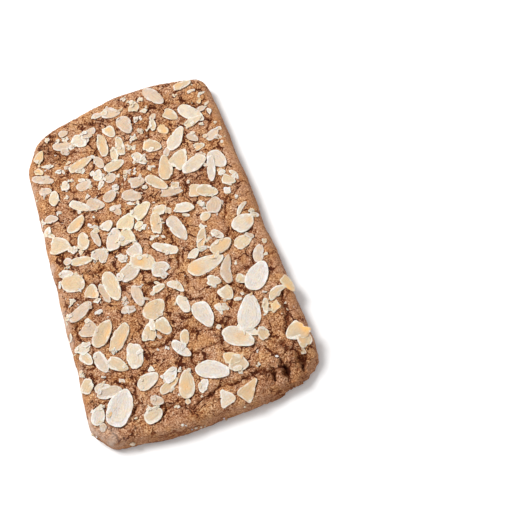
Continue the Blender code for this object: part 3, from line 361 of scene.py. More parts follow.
    (-37, -59.3, 13.5, 6.5, -42, HALF, CREAM), (-32, -46.8, 16, 8.2, 52, PLANK, TOASTED),
    (-36.3, -52.5, 6, 4.2, 40, SHARD, WHITE), (-27.2, -58.9, 14, 8.6, 78, PLANK, PALE),
    (-54, -59, 5.5, 2.8, -48, WEDGE, PALE), (-53.2, -65, 8.8, 6.8, 45, PLANK, CREAM),
    (-44.5, -63.6, 2.2, 1.6, 0, SHARD, WHITE), (-46.3, -68.6, 8, 5.5, -10, OVAL, CLEAR),
    (-43.5, -71.8, 12.5, 6.2, -5, OVAL, CLEAR), (-36.7, -68, 6.4, 2.6, -25, SHARD, WET),
    (-48.8, -77, 6.5, 1.8, -25, SHARD, PALE), (-51.3, -81, 9.5, 6.8, 72, OVAL, WHITE),
    (-50.6, -86, 6, 3, -30, SHARD, WET), (-40.2, -81, 19, 12.2, 57, OVAL, WHITE),
    (-24.2, -73.3, 11.5, 8, 20, OVAL, PALE), (-17.3, -50.2, 11.5, 7.2, 72, HALF, CREAM),
    (-10, -48.7, 12.5, 7, -62, HALF, CREAM), (-14.6, -46.8, 9.5, 4.6, 82, SHARD, PALE),
    (-15.5, -59.8, 2.6, 1.3, -75, SHARD, WHITE), (-11.2, -60.6, 4.4, 2, -50, SHARD, WHITE),
    (-1.3, -58.8, 9.8, 4.6, 76, PLANK, TOASTED), (-4.6, -63.9, 12, 5.6, -58, OVAL, WHITE),
    (11.2, -51, 16, 9.2, -78, OVAL, WHITE), (22.9, -51.5, 7, 3, -70, SHARD, WET),
    (19.4, -51.8, 9, 5, -82, WEDGE, PALE), (30, -49.7, 7, 1.6, -30, SHARD, WHITE),
    (32.9, -48.2, 3.8, 2.8, -30, SHARD, PALE), (43.5, -51.5, 5, 1.5, -30, SHARD, WET),
    (28.8, -67.2, 12.5, 5, -42, OVAL, PALE), (32.6, -58.7, 19.5, 11.5, 66, OVAL, WHITE),
    (23.4, -68.9, 17.5, 9.2, -44, OVAL, PALE), (41.2, -58.7, 9, 3.2, 75, PLANK, CREAM),
    (49.2, -53.4, 12, 4.6, 24, CRESCENT, CREAM), (46, -60.4, 8.8, 6.6, 58, SHARD, GOLDEN),
    (55.4, -50.3, 12.5, 5.4, -74, HALF, GOLDEN), (35.4, -72, 8.8, 5.8, 100, HALF, TOASTED),
    (36.5, -50.2, 2.4, 2, 0, SHARD, GOLDEN), (29.7, -78.8, 2.2, 1.4, 70, SHARD, WHITE),
    (-15.2, -79.3, 11.5, 4.8, 22, OVAL, TOASTED), (-13.8, -74.8, 10.8, 6.4, 36, HALF, WHITE),
    (-8, -73.4, 4.4, 2, 40, SHARD, PALE), (-7.2, -81.7, 14.2, 8, 76, OVAL, TOASTED),
    (16.6, -77.6, 12, 6, -28, HALF, GOLDEN), (18.9, -81.2, 11, 8.4, -35, HALF, CREAM),
    (0.3, -85.3, 7.2, 4.6, 42, PLANK, WHITE), (6.9, -80, 17, 9.2, -30, OVAL, WHITE),
    (-23.2, -84, 8.4, 5, -35, HALF, WET), (-26.2, -90.2, 9.4, 7.6, 10, OVAL, CREAM),
    (-34.5, -88.3, 2.8, 1.3, -15, SHARD, GOLDEN), (8.3, -94.2, 10.8, 11.0, 104, WEDGE, PALE),
    (20.4, -94.8, 14.8, 10.4, 34, WEDGE, TOASTED), (28, -85, 4.4, 1.6, 70, SHARD, PALE),
    (37.4, -84.6, 3.6, 1.6, -20, SHARD, WHITE), (52.8, -81.8, 8, 7, -85, PLANK, TOASTED),
    (51.2, -76.3, 13, 10, 192, HALF, CREAM), (-45.5, -82.3, 3.4, 2.3, 50, SHARD, GOLDEN),
    (-43, -80.5, 2.8, 2.4, 0, SHARD, CREAM), (-44.5, -63.6, 2, 1.6, 0, SHARD, WHITE),
    (29.7, -78.7, 2.2, 1.4, 20, SHARD, WHITE),
)

# Flakes whose toasted spot stands out: how toasted, then where it is and how far it spreads as shares of
# the flake's length and width
ROASTS = {
    (51.2, -76.3): (2.2, -0.36, 0.0, 0.28, 0.6),
    (20.2, -25.3): (1.15, -0.3, 0.0, 0.26, 0.6),
    (-9.8, -11): (1.35, -0.08, 0.0, 0.24, 0.34),
    (46.2, -10): (1.1, 0.25, -0.1, 0.16, 0.3),
    (23.4, -68.9): (0.85, 0.05, 0.1, 0.24, 0.3),
    (20.4, -94.8): (0.95, 0.1, 0.1, 0.45, 0.8),
    (8.3, -94.2): (0.6, -0.3, -0.3, 0.35, 0.6),
}

# Shapes of the flakes
FLAKE_SEED, BEND_SEED = 700, 900
SLICE_POINTS, EDGE_POINTS = 128, 160  # along the outline as it is drawn, and by even angles
LARGE = 8  # longer flakes are whole slices, and the others broken pieces
STEEPEST = 0.45  # the most that one may slope
SLOPE_SPREAD = 0.02  # how much that differs by chance
MAP_CELL = 0.25  # of the height map that they are laid on
FIRM, FEWEST = 1.2, 6  # a flake rests on ground this far inside the outline, on this many cells or more
SUNK, TOUCHING = 0.6, 0.8  # the share of its thickness in the dough, and how near it the dough comes
BROKEN_EDGE = {OVAL: 0.25, SHARD: 0.8, CRESCENT: 0.45, WEDGE: 0.5}  # how much of the edge is broken
SHARD_BREAKS = 2  # straight breaks in a shard
TOOTH_SIZE, TOOTH = 2.0, 0.6
WRINKLE_SIZE, WRINKLE = 3.2, 0.12
CORNER_SHARPNESS = 2.4  # of a three-cornered flake
MOAT_SIZE, MOAT_WIDTH, MOAT_DEPTH = 3.1, 0.8, 1.1  # the seam in the dough round a flake

# Small broken almond between the flakes, and crumbs
BIT_SEED = 950
BITS, BIT_PATCH, BIT_INSET = 480, 14.0, 2.5
BIT_LENGTH, BIT_LONGER, LONGEST_BIT = 1.5, 0.8, 4
BESIDE, LARGEST_TO_CHIP = 0.65, 16  # the share of tries against a flake, which is shorter than this
BESIDE_LENGTH, BESIDE_LONGER, LONGEST_BESIDE = 2.3, 1.3, 6
BIT_TINTS = (WHITE, PALE, PALE, PALE, PALE, CREAM, CREAM, CREAM, TOASTED, WET)
LOOSE_CRUMBS, CRUMB_PATCH, CRUMB_INSET = 420, 9.0, 3
CRUMB_LENGTH, CRUMB_LONGER, LONGEST_CRUMB = 0.5, 0.35, 1.8
# Almond crumbs that stick to the sides: x, y, height, size and tint
SIDE_CRUMBS = (
    (3.8, -101.2, 4.0, 1.1, WHITE), (15.0, -100.8, 8.2, 1.7, CREAM), (-14.8, -99.1, 10.8, 1.6, WHITE),
    (-13.5, -99.6, 10.1, 0.9, WHITE), (-5.9, -101.3, 3.8, 1.3, CREAM), (4.4, -101.5, 1.2, 1.0, GOLDEN),
    (-56.9, -86.8, 7.2, 2.0, TOASTED), (-40.5, -97.4, 5.5, 2.6, TOASTED), (-9.9, -101.2, 5.8, 1.5, CREAM),
    (-7.7, -101.4, 4.8, 1.3, CREAM), (-12.0, -101.0, 5.2, 1.1, WHITE), (-55.5, -88.9, 8.6, 1.2, WHITE),
)

# Mesh
OUTLINE_STEP = 0.25
TOP_STEP = 0.58
SHOULDER_RINGS, WALL_RINGS, FOOT_RINGS = 9, 6, 4
BASE_INSETS = (1.5, 4.0, 9.0)
# Rings over one flake: share of the way out, and drop below its face as a share of its thickness
SLICE_RINGS = (
    (0.10, 0.0), (0.36, 0.0), (0.60, 0.0), (0.79, 0.0), (0.91, 0.0), (0.97, 0.05), (1.0, 0.2),
    (1.0, 0.75), (0.94, 1.0), (0.55, 1.0), (0.10, 1.0),
)
RIM_POINTS, RIM_LIMITS = 5, (12, 84)  # for each millimetre of a flake, and fewest and most
CRUMB_RINGS, CRUMB_SIDES, CRUMB_TILT = 4, 6, 55  # the outer rings lie at this angle
SPARSE = 4  # distances are to each fourth point of the outline
BATCH = 4096  # points measured at a time
MARGIN = 4  # round the height map, and inside the edge where crumbs may lie

# Camera, lights and floor
CAMERA_TILT = radians(62.68)  # above the horizon
CAMERA_TURN = radians(-4.65)
CAMERA_ROLL = radians(-16.47)
CAMERA_DISTANCE = 375.0
LOOKED_AT = (46.08, -23.75, 0.0)
LENS = 36.0 * 708.0 / 510.0  # mm on a 36 mm sensor
# Direction as shares of the camera's right, up and back, then metres away, metres across and power
KEY_LIGHT = ((-0.75, 0.75, 0.9), 0.9, 0.35, 7.6)
FILL_LIGHT = ((0.9, 0.2, 0.8), 1.0, 0.8, 0.6)
FLOOR_SIZE, FLOOR_GAP = 6.0, 0.00005  # metres across, and metres below the slab
FLOOR_COLOUR = (0.93, 0.93, 0.93)
SKY_COLOUR, SKY_STRENGTH = (1.0, 1.0, 1.0), 0.56

# Dough from its darkest cracks, deepened with painted shade, to its driest crumbs, by how far each place is
# from middling
DOUGH_SHADES = (
    (-3.4, (0.10, 0.019, 0.004)), (-2.2, (0.235, 0.062, 0.015)), (-1.0, (0.42, 0.172, 0.070)),
    (0.0, (0.60, 0.296, 0.142)), (0.9, (0.72, 0.405, 0.213)), (2.4, (0.96, 0.695, 0.46)),
)
# Noises in it, from the broadest to the finest: scale, detail and roughness
DOUGH_NOISES = (
    (70.0, 2.0, 0.5), (130.0, 2.0, 0.5), (190.0, 2.0, 0.5), (300.0, 3.0, 0.6), (420.0, 5.0, 0.9),
    (1300.0, 2.0, 0.8),
)
SEAM_BEND = 0.0075  # metres that its thin seams stray
DOUGH_BUMP, ALMOND_BUMP = 0.0010, 0.0009  # metres
DOUGH_GOLDEN = (1.03, 0.98, 0.84)
DOUGH_ROSY = (0.98, 0.99, 1.08)
# pale dust and painted sheen on the left side and the near left corner
DOUGH_PALE = (0.74, 0.54, 0.42)
# cool patches on the almond, partly painted sheen
ALMOND_COOL = (0.97, 0.985, 1.06)
ALMOND_WARM = (1.07, 0.99, 0.87)
ALMOND_LINE = (0.92, 0.84, 0.72)
ALMOND_DULL = (0.87, 0.805, 0.72)
ALMOND_INNER = (0.985, 0.90, 0.77)
ALMOND_TOAST = (0.74, 0.47, 0.235)
ALMOND_AMBER = (0.92, 0.52, 0.15)
# pale rim of the flakes, partly painted highlight along their edges
ALMOND_RIM = (0.97, 0.925, 0.83)


def lattice(i, j, seed):
    """A repeatable random value from 0 to 1 at each point of a whole-number grid."""
    n = (i * 374761393 + j * 668265263 + seed * 362437) & 0xFFFFFFFF
    n = ((n ^ (n >> 13)) * 1274126177) & 0xFFFFFFFF
    return ((n ^ (n >> 16)) & 0xFFFFFF) / 0xFFFFFF


def cells(x, y, size):
    """The square of a grid that each point is in, and where it lies on that grid."""
    u, v = x / size, y / size
    return np.floor(u).astype(np.int64), np.floor(v).astype(np.int64), u, v


def noise(x, y, size, seed):
    """Smooth bumps about `size` across, from -1 to 1."""
    i, j, u, v = cells(x, y, size)
    s, t = (part * part * (3 - 2 * part) for part in (u - i, v - j))
    low, high = (lattice(i, k, seed) * (1 - s) + lattice(i + 1, k, seed) * s for k in (j, j + 1))
    return 2 * (low * (1 - t) + high * t) - 1


def fractal(x, y, size, octaves, seed):
    """Bumps of several sizes together, each half as big as the last and turned against it."""
    total, share = 0.0, 1.0
    for octave in range(octaves):
        total = total + share * noise(x, y, size, seed + octave)
        x, y = 0.8 * x - 0.6 * y, 0.6 * x + 0.8 * y
        size, share = size / 2, share / 2
    return total


def crumbs(x, y, size, seed):
    """Distance to the border between pieces about `size` across, and each piece's own value."""
    i, j, u, v = cells(x, y, size)
    nearest, second, value = np.full((3, *np.shape(u)), 9.0)
    for a, b in ((i + di, j + dj) for di in (-1, 0, 1) for dj in (-1, 0, 1)):
        middle_x, middle_y = (cell + 0.1 + 0.8 * lattice(a, b, seed + k) for k, cell in enumerate((a, b)))
        away = np.hypot(middle_x - u, middle_y - v)
        closer = away < nearest
        second = np.where(closer, nearest, np.minimum(second, away))
        value = np.where(closer, lattice(a, b, seed + 2), value)
        nearest = np.minimum(nearest, away)
    return (second - nearest) * size / 2, value


def held(value):
    """A value kept from 0 to 1."""
    return np.clip(value, 0, 1)


def to_line(x, y, places):
    """Distance from points to a line through several places."""
    nearest = []
    for (start_x, start_y), (end_x, end_y) in zip(places, places[1:]):
        dx, dy = end_x - start_x, end_y - start_y
        along = held(((x - start_x) * dx + (y - start_y) * dy) / (dx * dx + dy * dy))
        nearest.append(np.hypot(x - start_x - along * dx, y - start_y - along * dy))
    return np.minimum.reduce(nearest)


def from_middle(x, y, middle_x, middle_y, half_width, half_length):
    """Distance from the middle of an oval place, 1 at its edge."""
    return np.hypot((x - middle_x) / half_width, (y - middle_y) / half_length)


def crumbling(x, y):
    """How far the crust has crumbled, from 0 to about 1."""
    return np.maximum.reduce([
        rough * held(1.6 - 1.2 * from_middle(x, y, *place)) for *place, rough in CRUMBLING
    ])


def broken(x, y):
    """How much a place belongs to the broken corner, from 0 to 1."""
    return held(BROKEN_STEEPNESS * (1 - from_middle(x, y, *BROKEN_PLACE)))


def broken_corner(x, y):
    """Height of the broken corner over the whole crust, with its standing lumps."""
    standing = np.maximum.reduce([
        tall * np.sqrt(held(1 - (to_line(x, y, (line[:2], line[2:])) / half_width) ** 2))
        for *line, half_width, tall in LUMPS
    ])
    return BROKEN_DROP * broken(x, y) * (standing - 1)


def partly(share, wandering, straight):
    """Places that wander a share of the way."""
    return [share * far + (1 - share) * near for far, near in zip(wandering, straight)]


def wander(x, y, distance, size, octaves, seed):
    """Places moved about, by up to about a distance each way."""
    return [start + distance * fractal(x, y, size, octaves, seed + k) for start, k in ((x, 0), (y, 10))]


def each_crack(groups):
    """Half width, depth and points of each crack."""
    return [(half_width, deepest, line) for half_width, deepest, *lines in groups for line in lines]


def relief(x, y):
    """How far the crust stands above or below its mean height, and how open its cracks are."""
    moved = wander(x, y, WANDER, WANDER_SIZE, 4, CRUST_SEED)
    rough = crumbling(x, y)
    border, piece = crumbs(*moved, PIECE_SIZE, CRUST_SEED + 20)
    bit_border, bit = crumbs(*moved, BIT_SIZE, CRUST_SEED + 30)
    open_seams = 0.45 + 1.3 * fractal(x, y, OPEN_SIZE, 2, CRUST_SEED + 40)
    open_hairlines = 0.25 + 0.8 * noise(x, y, OPEN_SIZE, CRUST_SEED + 41) + rough
    seams = held(open_seams) * held(1 - border / SEAM_WIDTH)
    hairlines = held(open_hairlines) * held(1 - bit_border / HAIRLINE_WIDTH)
    depth = np.maximum(SEAM_DEPTH * seams**CRACK_ROUND, HAIRLINE_DEPTH * hairlines**HAIRLINE_ROUND)
    opening = np.maximum(seams, 0.8 * hairlines)
    frayed = 1 + FRAY * fractal(x, y, FRAY_SIZE, 2, CRUST_SEED + 45)
    place = partly(CRACK_WANDER, moved, (x, y))
    for half_width, deepest, points in each_crack(CRACKS):
        mine = held(frayed - to_line(*place, points) / half_width)
        depth, opening = np.maximum(depth, deepest * mine**CRACK_ROUND), np.maximum(opening, mine)
    height = (
        SWELL * noise(x, y, SWELL_SIZE, CRUST_SEED + 50)
        + PIECE_STEP * (piece - 0.5)
        + BIT_STEP * (bit - 0.5)
        + GRAIN * fractal(x, y, GRAIN_SIZE, 3, CRUST_SEED + 60)
        - WORN * np.exp(-border / WORN_WIDTH)
        - rough * (RUBBLE_SINK + RUBBLE * noise(*moved, RUBBLE_SIZE, CRUST_SEED + 70))
        + broken_corner(*partly(LUMP_WANDER, moved, (x, y)))
    )
    return height - depth, opening


def rounded(corners):
    """Points round a polygon with rounded corners, an even step apart, and the way out at each."""
    sharp = np.array([corner[:2] for corner in corners])
    points = []
    for k, (x, y, radius) in enumerate(corners):
        before, after = (sharp[other % len(corners)] - (x, y) for other in (k - 1, k + 1))
        before, after = before / np.hypot(*before), after / np.hypot(*after)
        half = np.arccos(before @ after) / 2
        centre = sharp[k] + (before + after) / np.hypot(*(before + after)) * radius / np.sin(half)
        first, last = (sharp[k] + side * radius / np.tan(half) - centre for side in (before, after))
        start = atan2(first[1], first[0])
        sweep = (atan2(last[1], last[0]) - start) % tau
        angles = start + np.linspace(0, sweep, max(4, int(radius * sweep / OUTLINE_STEP)))
        points.append(centre + radius * np.stack([np.cos(angles), np.sin(angles)], 1))
    loop = np.concatenate(points)
    closed = np.concatenate([loop, loop[:1]])
    length = np.concatenate([[0], np.cumsum(np.hypot(*np.diff(closed, axis=0).T))])
    places = np.arange(0, length[-1], OUTLINE_STEP)
    loop = np.stack([np.interp(places, length, closed[:, axis]) for axis in (0, 1)], 1)
    ahead = np.roll(loop, -3, 0) - np.roll(loop, 3, 0)
    out = np.stack([ahead[:, 1], -ahead[:, 0]], 1) / np.hypot(*ahead.T)[:, None]
    uneven = UNEVEN * fractal(*on_ring(places / length[-1] * tau), UNEVEN_SIZE, 4, CRUST_SEED + 80)
    return loop + out * uneven[:, None], out


def on_ring(around):
    """Places on a circle, so that what is drawn there meets itself."""
    return RING_RADIUS * np.cos(around), RING_RADIUS * np.sin(around)


OUTLINE, OUTWARD = rounded(CORNERS)


def edge_distance(x, y):
    """How far inside the outline each point is; points outside it come out negative."""
    flat_x, flat_y = np.ravel(x), np.ravel(y)
    result = np.empty(len(flat_x))
    sparse, out = OUTLINE[::SPARSE], OUTWARD[::SPARSE]
    for start in range(0, len(flat_x), BATCH):
        some = slice(start, start + BATCH)
        dx, dy = flat_x[some, None] - sparse[None, :, 0], flat_y[some, None] - sparse[None, :, 1]
        nearest = np.argmin(dx * dx + dy * dy, axis=1)
        row = np.arange(len(nearest))
        result[some] = -(dx[row, nearest] * out[nearest, 0] + dy[row, nearest] * out[nearest, 1])
    return result.reshape(np.shape(x))


def shoulder(inset):
    """How far the top has rounded down at a distance inside the widest line."""
    near = held((inset - BULGE) / SHOULDER_REACH)
    return SHOULDER_DROP * (1 - np.sqrt(1 - (1 - near) ** 2))


def slice_outline(length, width, cut, draw):
    """Outline of an almond slice round its own middle, its narrow end along +x."""
    angle = np.arange(SLICE_POINTS) * tau / SLICE_POINTS
    taper, slant = draw.uniform(0.10, 0.30), draw.uniform(-0.45, 0.45)
    waves = [(k, draw.uniform(-0.035, 0.035), draw.uniform(0, tau)) for k in (2, 3, 5)]
    wavy = 1 + sum(size * np.cos(k * angle + turn) for k, size, turn in waves)
    x = length / 2 * np.cos(angle) * wavy
    y = width / 2 * np.sin(angle) * (1 - taper * np.cos(angle)) * wavy
    if cut == HALF:
        snapped = -0.35 * length + slant * y
        x = np.where(x < snapped, snapped + 0.12 * (x - snapped), x)
    elif cut == PLANK:
        x = length / 2 * np.sign(np.cos(angle)) * np.abs(np.cos(angle)) ** 0.7 * wavy
        y = width / 2 * np.sign(np.sin(angle)) * np.abs(np.sin(angle)) ** 0.75 * wavy
        x = x + 0.5 * slant * y
    elif cut == SHARD:
        corners = draw.integers(4, 6)
        at = (np.arange(corners) + draw.uniform(-0.25, 0.25, corners)) * tau / corners
        at = at + draw.uniform(0, tau)
        reach = draw.uniform(0.85, 1.15, corners)
        corner_x, corner_y = length / 2 * reach * np.cos(at), width / 2 * reach * np.sin(at)
        place = np.arange(SLICE_POINTS) * corners / SLICE_POINTS
        k = place.astype(int)
        x, y = (
            side[k] + (place - k) * (side[(k + 1) % corners] - side[k]) for side in (corner_x, corner_y)
        )
    elif cut == CRESCENT:
        y = y + width * (0.15 - 1.4 * (x / length) ** 2)
    return np.stack([x, y], 1)


def draw_for(seed, x, y):
    """The random draws of the flake at a place, the same however many flakes there are."""
    return np.random.default_rng((seed, round(10 * x) + 1000, round(10 * y) + 1000))


def fine_cracks(x, y):
    """Depth of the thinner cracks, and how open they and the broad ones are."""
    deep, opening = np.zeros(np.shape(x)), np.zeros(np.shape(x))
    frayed = 1 + CRACK_FRAY * fractal(x, y, CRACK_FRAY_SIZE, 2, CRUST_SEED + 155)
    for half_width, deepest, points in each_crack(CRACKS + FINE_CRACKS):
        low, high = np.min(points, 0) - 2, np.max(points, 0) + 2
        near = (x > low[0]) & (x < high[0]) & (y > low[1]) & (y < high[1])
        away = to_line(x[near], y[near], points)
        mine = held(frayed[near] - away / half_width)
        deep[near] = np.maximum(deep[near], deepest * mine**CRACK_ROUND)
        mine = held(1.2 * frayed[near] - away / min(1.3 * half_width, WIDEST_CRACK))
        opening[near] = np.maximum(opening[near], mine)
    return deep, opening


def smooth_band(x, y, inset):
    """How much a place belongs to the smooth bands along the two long sides, or to a smooth piece."""
    sides = held((np.abs(x) - BAND_FROM) / BAND_FADE) * held((BAND_END - np.abs(y)) / BAND_FADE)
    pieces = [np.clip(2.4 - 2.4 * from_middle(x, y, *place), 0, 0.7) for place in SMOOTH_PIECES]
    return np.maximum.reduce([sides * held((SMOOTH_BAND - inset) / 1.5), *pieces])


def paleness(x, y, inset, lost=0.0):
    """How much pale dust and painted sheen lie along the left side and on the near left corner, less towards
    the foot.
    """
    side = held((PALE_FROM - x) / PALE_FADE) * held(1.3 - np.abs(inset - 1.5) / 3)
    corner = held(1.4 - from_middle(x, y, *PALE_CORNER))
    patchy = held(0.3 + 1.2 * fractal(x + lost, y + lost, PALE_SIZE, 3, CRUST_SEED + 190))
    return np.maximum(0.8 * side, corner) * patchy * held((PALE_DOWN - lost) / 6)


def fine_relief(x, y, inset):
    """The crust with its finest crumb: its height, how open its cracks are and where it is whole."""
    moved = wander(x, y, FINE_WANDER, FINE_WANDER_SIZE, 3, CRUST_SEED + 100)
    height, opening = relief(*moved)
    deep, split = fine_cracks(*moved)
    height, opening = height - deep * (1 - opening), np.maximum(opening**CRACK_NARROWING, split)
    lump, smooth = broken(x, y), smooth_band(x, y, inset)
    rough = crumbling(x, y) * (1 - smooth)
    # crumbs lie in the cracks
    fill = opening * held(0.35 + 1.5 * fractal(x, y, FILL_SIZE, 2, CRUST_SEED + 115))
    height, opening = height + CRACK_FILL * fill, opening * (1 - 0.25 * fill)
    # the skin is whole, torn at its edge, or gone
    whole = fractal(*moved, FLAKY_SIZE, 5, CRUST_SEED + 145) + FLAKY_SHARE - 0.5 * opening - 0.2 * rough
    crust = held(0.5 + (whole + lump + smooth) / FLAKY_EDGE)
    torn = 4 * crust * (1 - crust)
    loose = np.clip(1.15 - 0.7 * crust + 0.25 * rough, 0, 1.4) * (1 - 0.6 * lump) * (1 - 0.8 * smooth)
    border, grain = crumbs(*moved, CRUMB_SIZE, CRUST_SEED + 120)
    crease = np.abs(fractal(*moved, CREASE_SIZE, 2, CRUST_SEED + 125)) / CREASE_WIDTH
    crease, gap = held(1 - crease), held(1 - border / CRUMB_BORDER)
    height = (
        (FLATTEN + 0.4 * lump - 0.5 * smooth) * height
        + LUMPY * lump * fractal(x, y, LUMPY_SIZE, 3, CRUST_SEED + 195)
        + CRUMB * loose * (grain - 0.5)
        + FINEST * fractal(x, y, FINEST_SIZE, 2, CRUST_SEED + 140)
        - loose * (CRUMB_GAP * gap + CREASE * crease)
        - SUNKEN * (1 - crust)
        - TORN * torn
    )
    opening = np.maximum(opening, loose * np.maximum(0.45 * gap, 0.5 * crease))
    return height, np.maximum(opening, 0.4 * torn) * (1 - 0.85 * smooth), crust


def brokenness(cut, angle):
    """How much of a flake's edge is a break rather than a clean cut, by angle."""
    if cut == HALF:
        return np.clip(-2.5 * np.cos(angle) - 1, 0.2, 1)
    if cut == PLANK:
        return np.clip(3 * np.abs(np.cos(angle)) - 1.6, 0.25, 1)
    return np.full(len(angle), BROKEN_EDGE[cut])


def chip(angle, reach, cut, size, draw):
    """A flake's edge with straight breaks, teeth and nicks in it."""
    for _ in range(SHARD_BREAKS if cut == SHARD else 0):
        facing, far = draw.uniform(0, tau), draw.uniform(0.62, 1)
        ahead = np.cos(angle - facing)
        edge = far * np.interp(facing, angle, reach, period=tau)
        reach = np.where(ahead > 0.1, np.minimum(reach, edge / np.maximum(ahead, 0.1)), reach)
    small = min(1, size / 6)
    side, ahead = reach * np.cos(angle) + draw.uniform(0, 900), reach * np.sin(angle)
    teeth = fractal(side, ahead, TOOTH_SIZE, 3, BEND_SEED)
    reach = reach - TOOTH * brokenness(cut, angle) * np.clip(1 + teeth, 0, 2) * small
    for _ in range(draw.integers(0, 3)):
        at, half_width, deep = draw.uniform(0, tau), draw.uniform(0.4, 1.3), draw.uniform(0.2, 0.9) * small
        apart = np.abs((angle - at + pi) % tau - pi) * reach
        reach = reach - deep * held(1 - apart / half_width)
    return np.maximum(reach, 0.15 * size)


def triangle(angle, length, width):
    """Reach of a three-cornered flake, its point along +x, with its corners rounded."""
    side = atan2(length, 0.55 * width)
    edges = [(pi, 0.42 * length), (side, 0.5 * length * cos(side)), (-side, 0.5 * length * cos(side))]
    near = [np.maximum(np.cos(angle - facing), 0.01) / away for facing, away in edges]
    return np.sum(np.power(near, CORNER_SHARPNESS), 0) ** (-1 / CORNER_SHARPNESS)


def plan_flake(row):
    """One flake's shape: its outline by angle, its thickness, how it bends and where it is toasted."""
    x, y, length, width, turn, cut, tint = row
    more = draw_for(BEND_SEED, x, y)
    angles = np.linspace(-pi, pi, EDGE_POINTS, endpoint=False)
    if cut == WEDGE:
        reach = triangle(angles, length, width)
    else:
        outline = slice_outline(length, width, cut, draw_for(FLAKE_SEED, x, y))
        angle = np.arctan2(outline[:, 1], outline[:, 0])
        order = np.argsort(angle)
        reach = np.interp(angles, angle[order], np.hypot(*outline[order].T), period=tau)
    reach = chip(angles, reach, cut, width, more)
    roast = more.uniform(0.5, 1.25) * tint.toasting
    spot = more.uniform(-0.36, 0.3), more.uniform(-0.3, 0.3)
    spread = more.uniform(0.2, 0.36), more.uniform(0.2, 0.36)
    if (x, y) in ROASTS:
        roast, *place = ROASTS[x, y]
        spot, spread = place[:2], place[2:]
    thick = more.uniform(0.5, 0.8) if length > LARGE else more.uniform(0.3, 0.5) * min(1, 0.5 + length / 10)
    return SimpleNamespace(
        x=x, y=y, length=length, width=width, turn=radians(turn), tint=tint, angles=angles, reaches=reach,
        thick=thick,
        cup=width * more.uniform(-0.05, 0.08),
        bow=length * more.uniform(-0.025, 0.05),
        twist=more.uniform(-0.45, 0.45) * min(1, length / 12),
        moat=more.uniform(0.35, 1.2),
        tone=more.uniform(0, 1),
        roast=roast, roast_at=(length * spot[0], width * spot[1]),
        roast_reach=(length * spread[0], width * spread[1]),
        shift=more.uniform(0, 900, 2),
    )


def on_flake(flakes, x, y):
    """Whether a place lies on a flake."""
    close = (flake for flake in flakes if abs(flake.x - x) + abs(flake.y - y) < flake.length)
    return any(inside(flake, *own_axes(flake, x, y)) > -0.2 for flake in close)


def scattered_bits(flakes):
    """Small broken almond: some on the open crust, and some against the flakes."""
    draw = np.random.default_rng(BIT_SEED)
    rows = []
    while len(rows) < BITS:
        x, y = draw.uniform(LEFT, RIGHT), draw.uniform(NEAR, FAR)
        length = min(BIT_LENGTH + draw.exponential(BIT_LONGER), LONGEST_BIT)
        tint = BIT_TINTS[draw.integers(len(BIT_TINTS))]
        likely = 0.5 + 0.35 * fractal(x, y, BIT_PATCH, 2, BIT_SEED)
        kept = draw.uniform(0, 1) < likely and not on_flake(flakes, x, y)
        if draw.uniform(0, 1) < BESIDE:
            flake, angle = flakes[draw.integers(len(flakes))], draw.uniform(0, tau)
            length = BESIDE_LENGTH + draw.exponential(BESIDE_LONGER)
            length = min(length, LONGEST_BESIDE, 0.65 * flake.length)
            reach = np.interp(angle, flake.angles, flake.reaches, period=tau)
            reach = reach + draw.uniform(-0.4, 0.35) * length
            x, y = flake.x + reach * cos(angle + flake.turn), flake.y + reach * sin(angle + flake.turn)
            tint, kept = flake.tint if draw.uniform(0, 1) < 0.6 else tint, flake.length < LARGEST_TO_CHIP
        width = max(0.6, length * draw.uniform(0.35, 0.9))
        cut, turn = (SHARD, PLANK, WEDGE)[draw.integers(3)], draw.uniform(0, 360)
        if kept and edge_distance(x, y) > BIT_INSET:
            rows.append((x, y, length, width, turn, cut, tint))
    return rows


def own_axes(flake, x, y):
    """Points in a flake's own directions, from its middle."""
    dx, dy = x - flake.x, y - flake.y
    along = dx * cos(flake.turn) + dy * sin(flake.turn)
    return along, dy * cos(flake.turn) - dx * sin(flake.turn)


def inside(flake, u, v):
    """How far inside the flake's outline each point is, in millimetres, less than 0 outside."""
    reach = np.interp(np.arctan2(v, u), flake.angles, flake.reaches, period=tau)
    return reach - np.hypot(u, v)


def bend(flake, u, v):
    """Height of a flake's curled face over its flat plane."""
    a, b = 2 * u / flake.length, 2 * v / flake.width
    wrinkle = WRINKLE * fractal(u + flake.shift[0], 1.6 * v + flake.shift[1], WRINKLE_SIZE, 2, BEND_SEED)
    return flake.cup * b * b + flake.bow * a * a + flake.twist * a * b + wrinkle


def lean(flake, dx, dy):
    """Height that a flake's slope adds at a distance from its middle."""
    return flake.slope[0] * dx + flake.slope[1] * dy


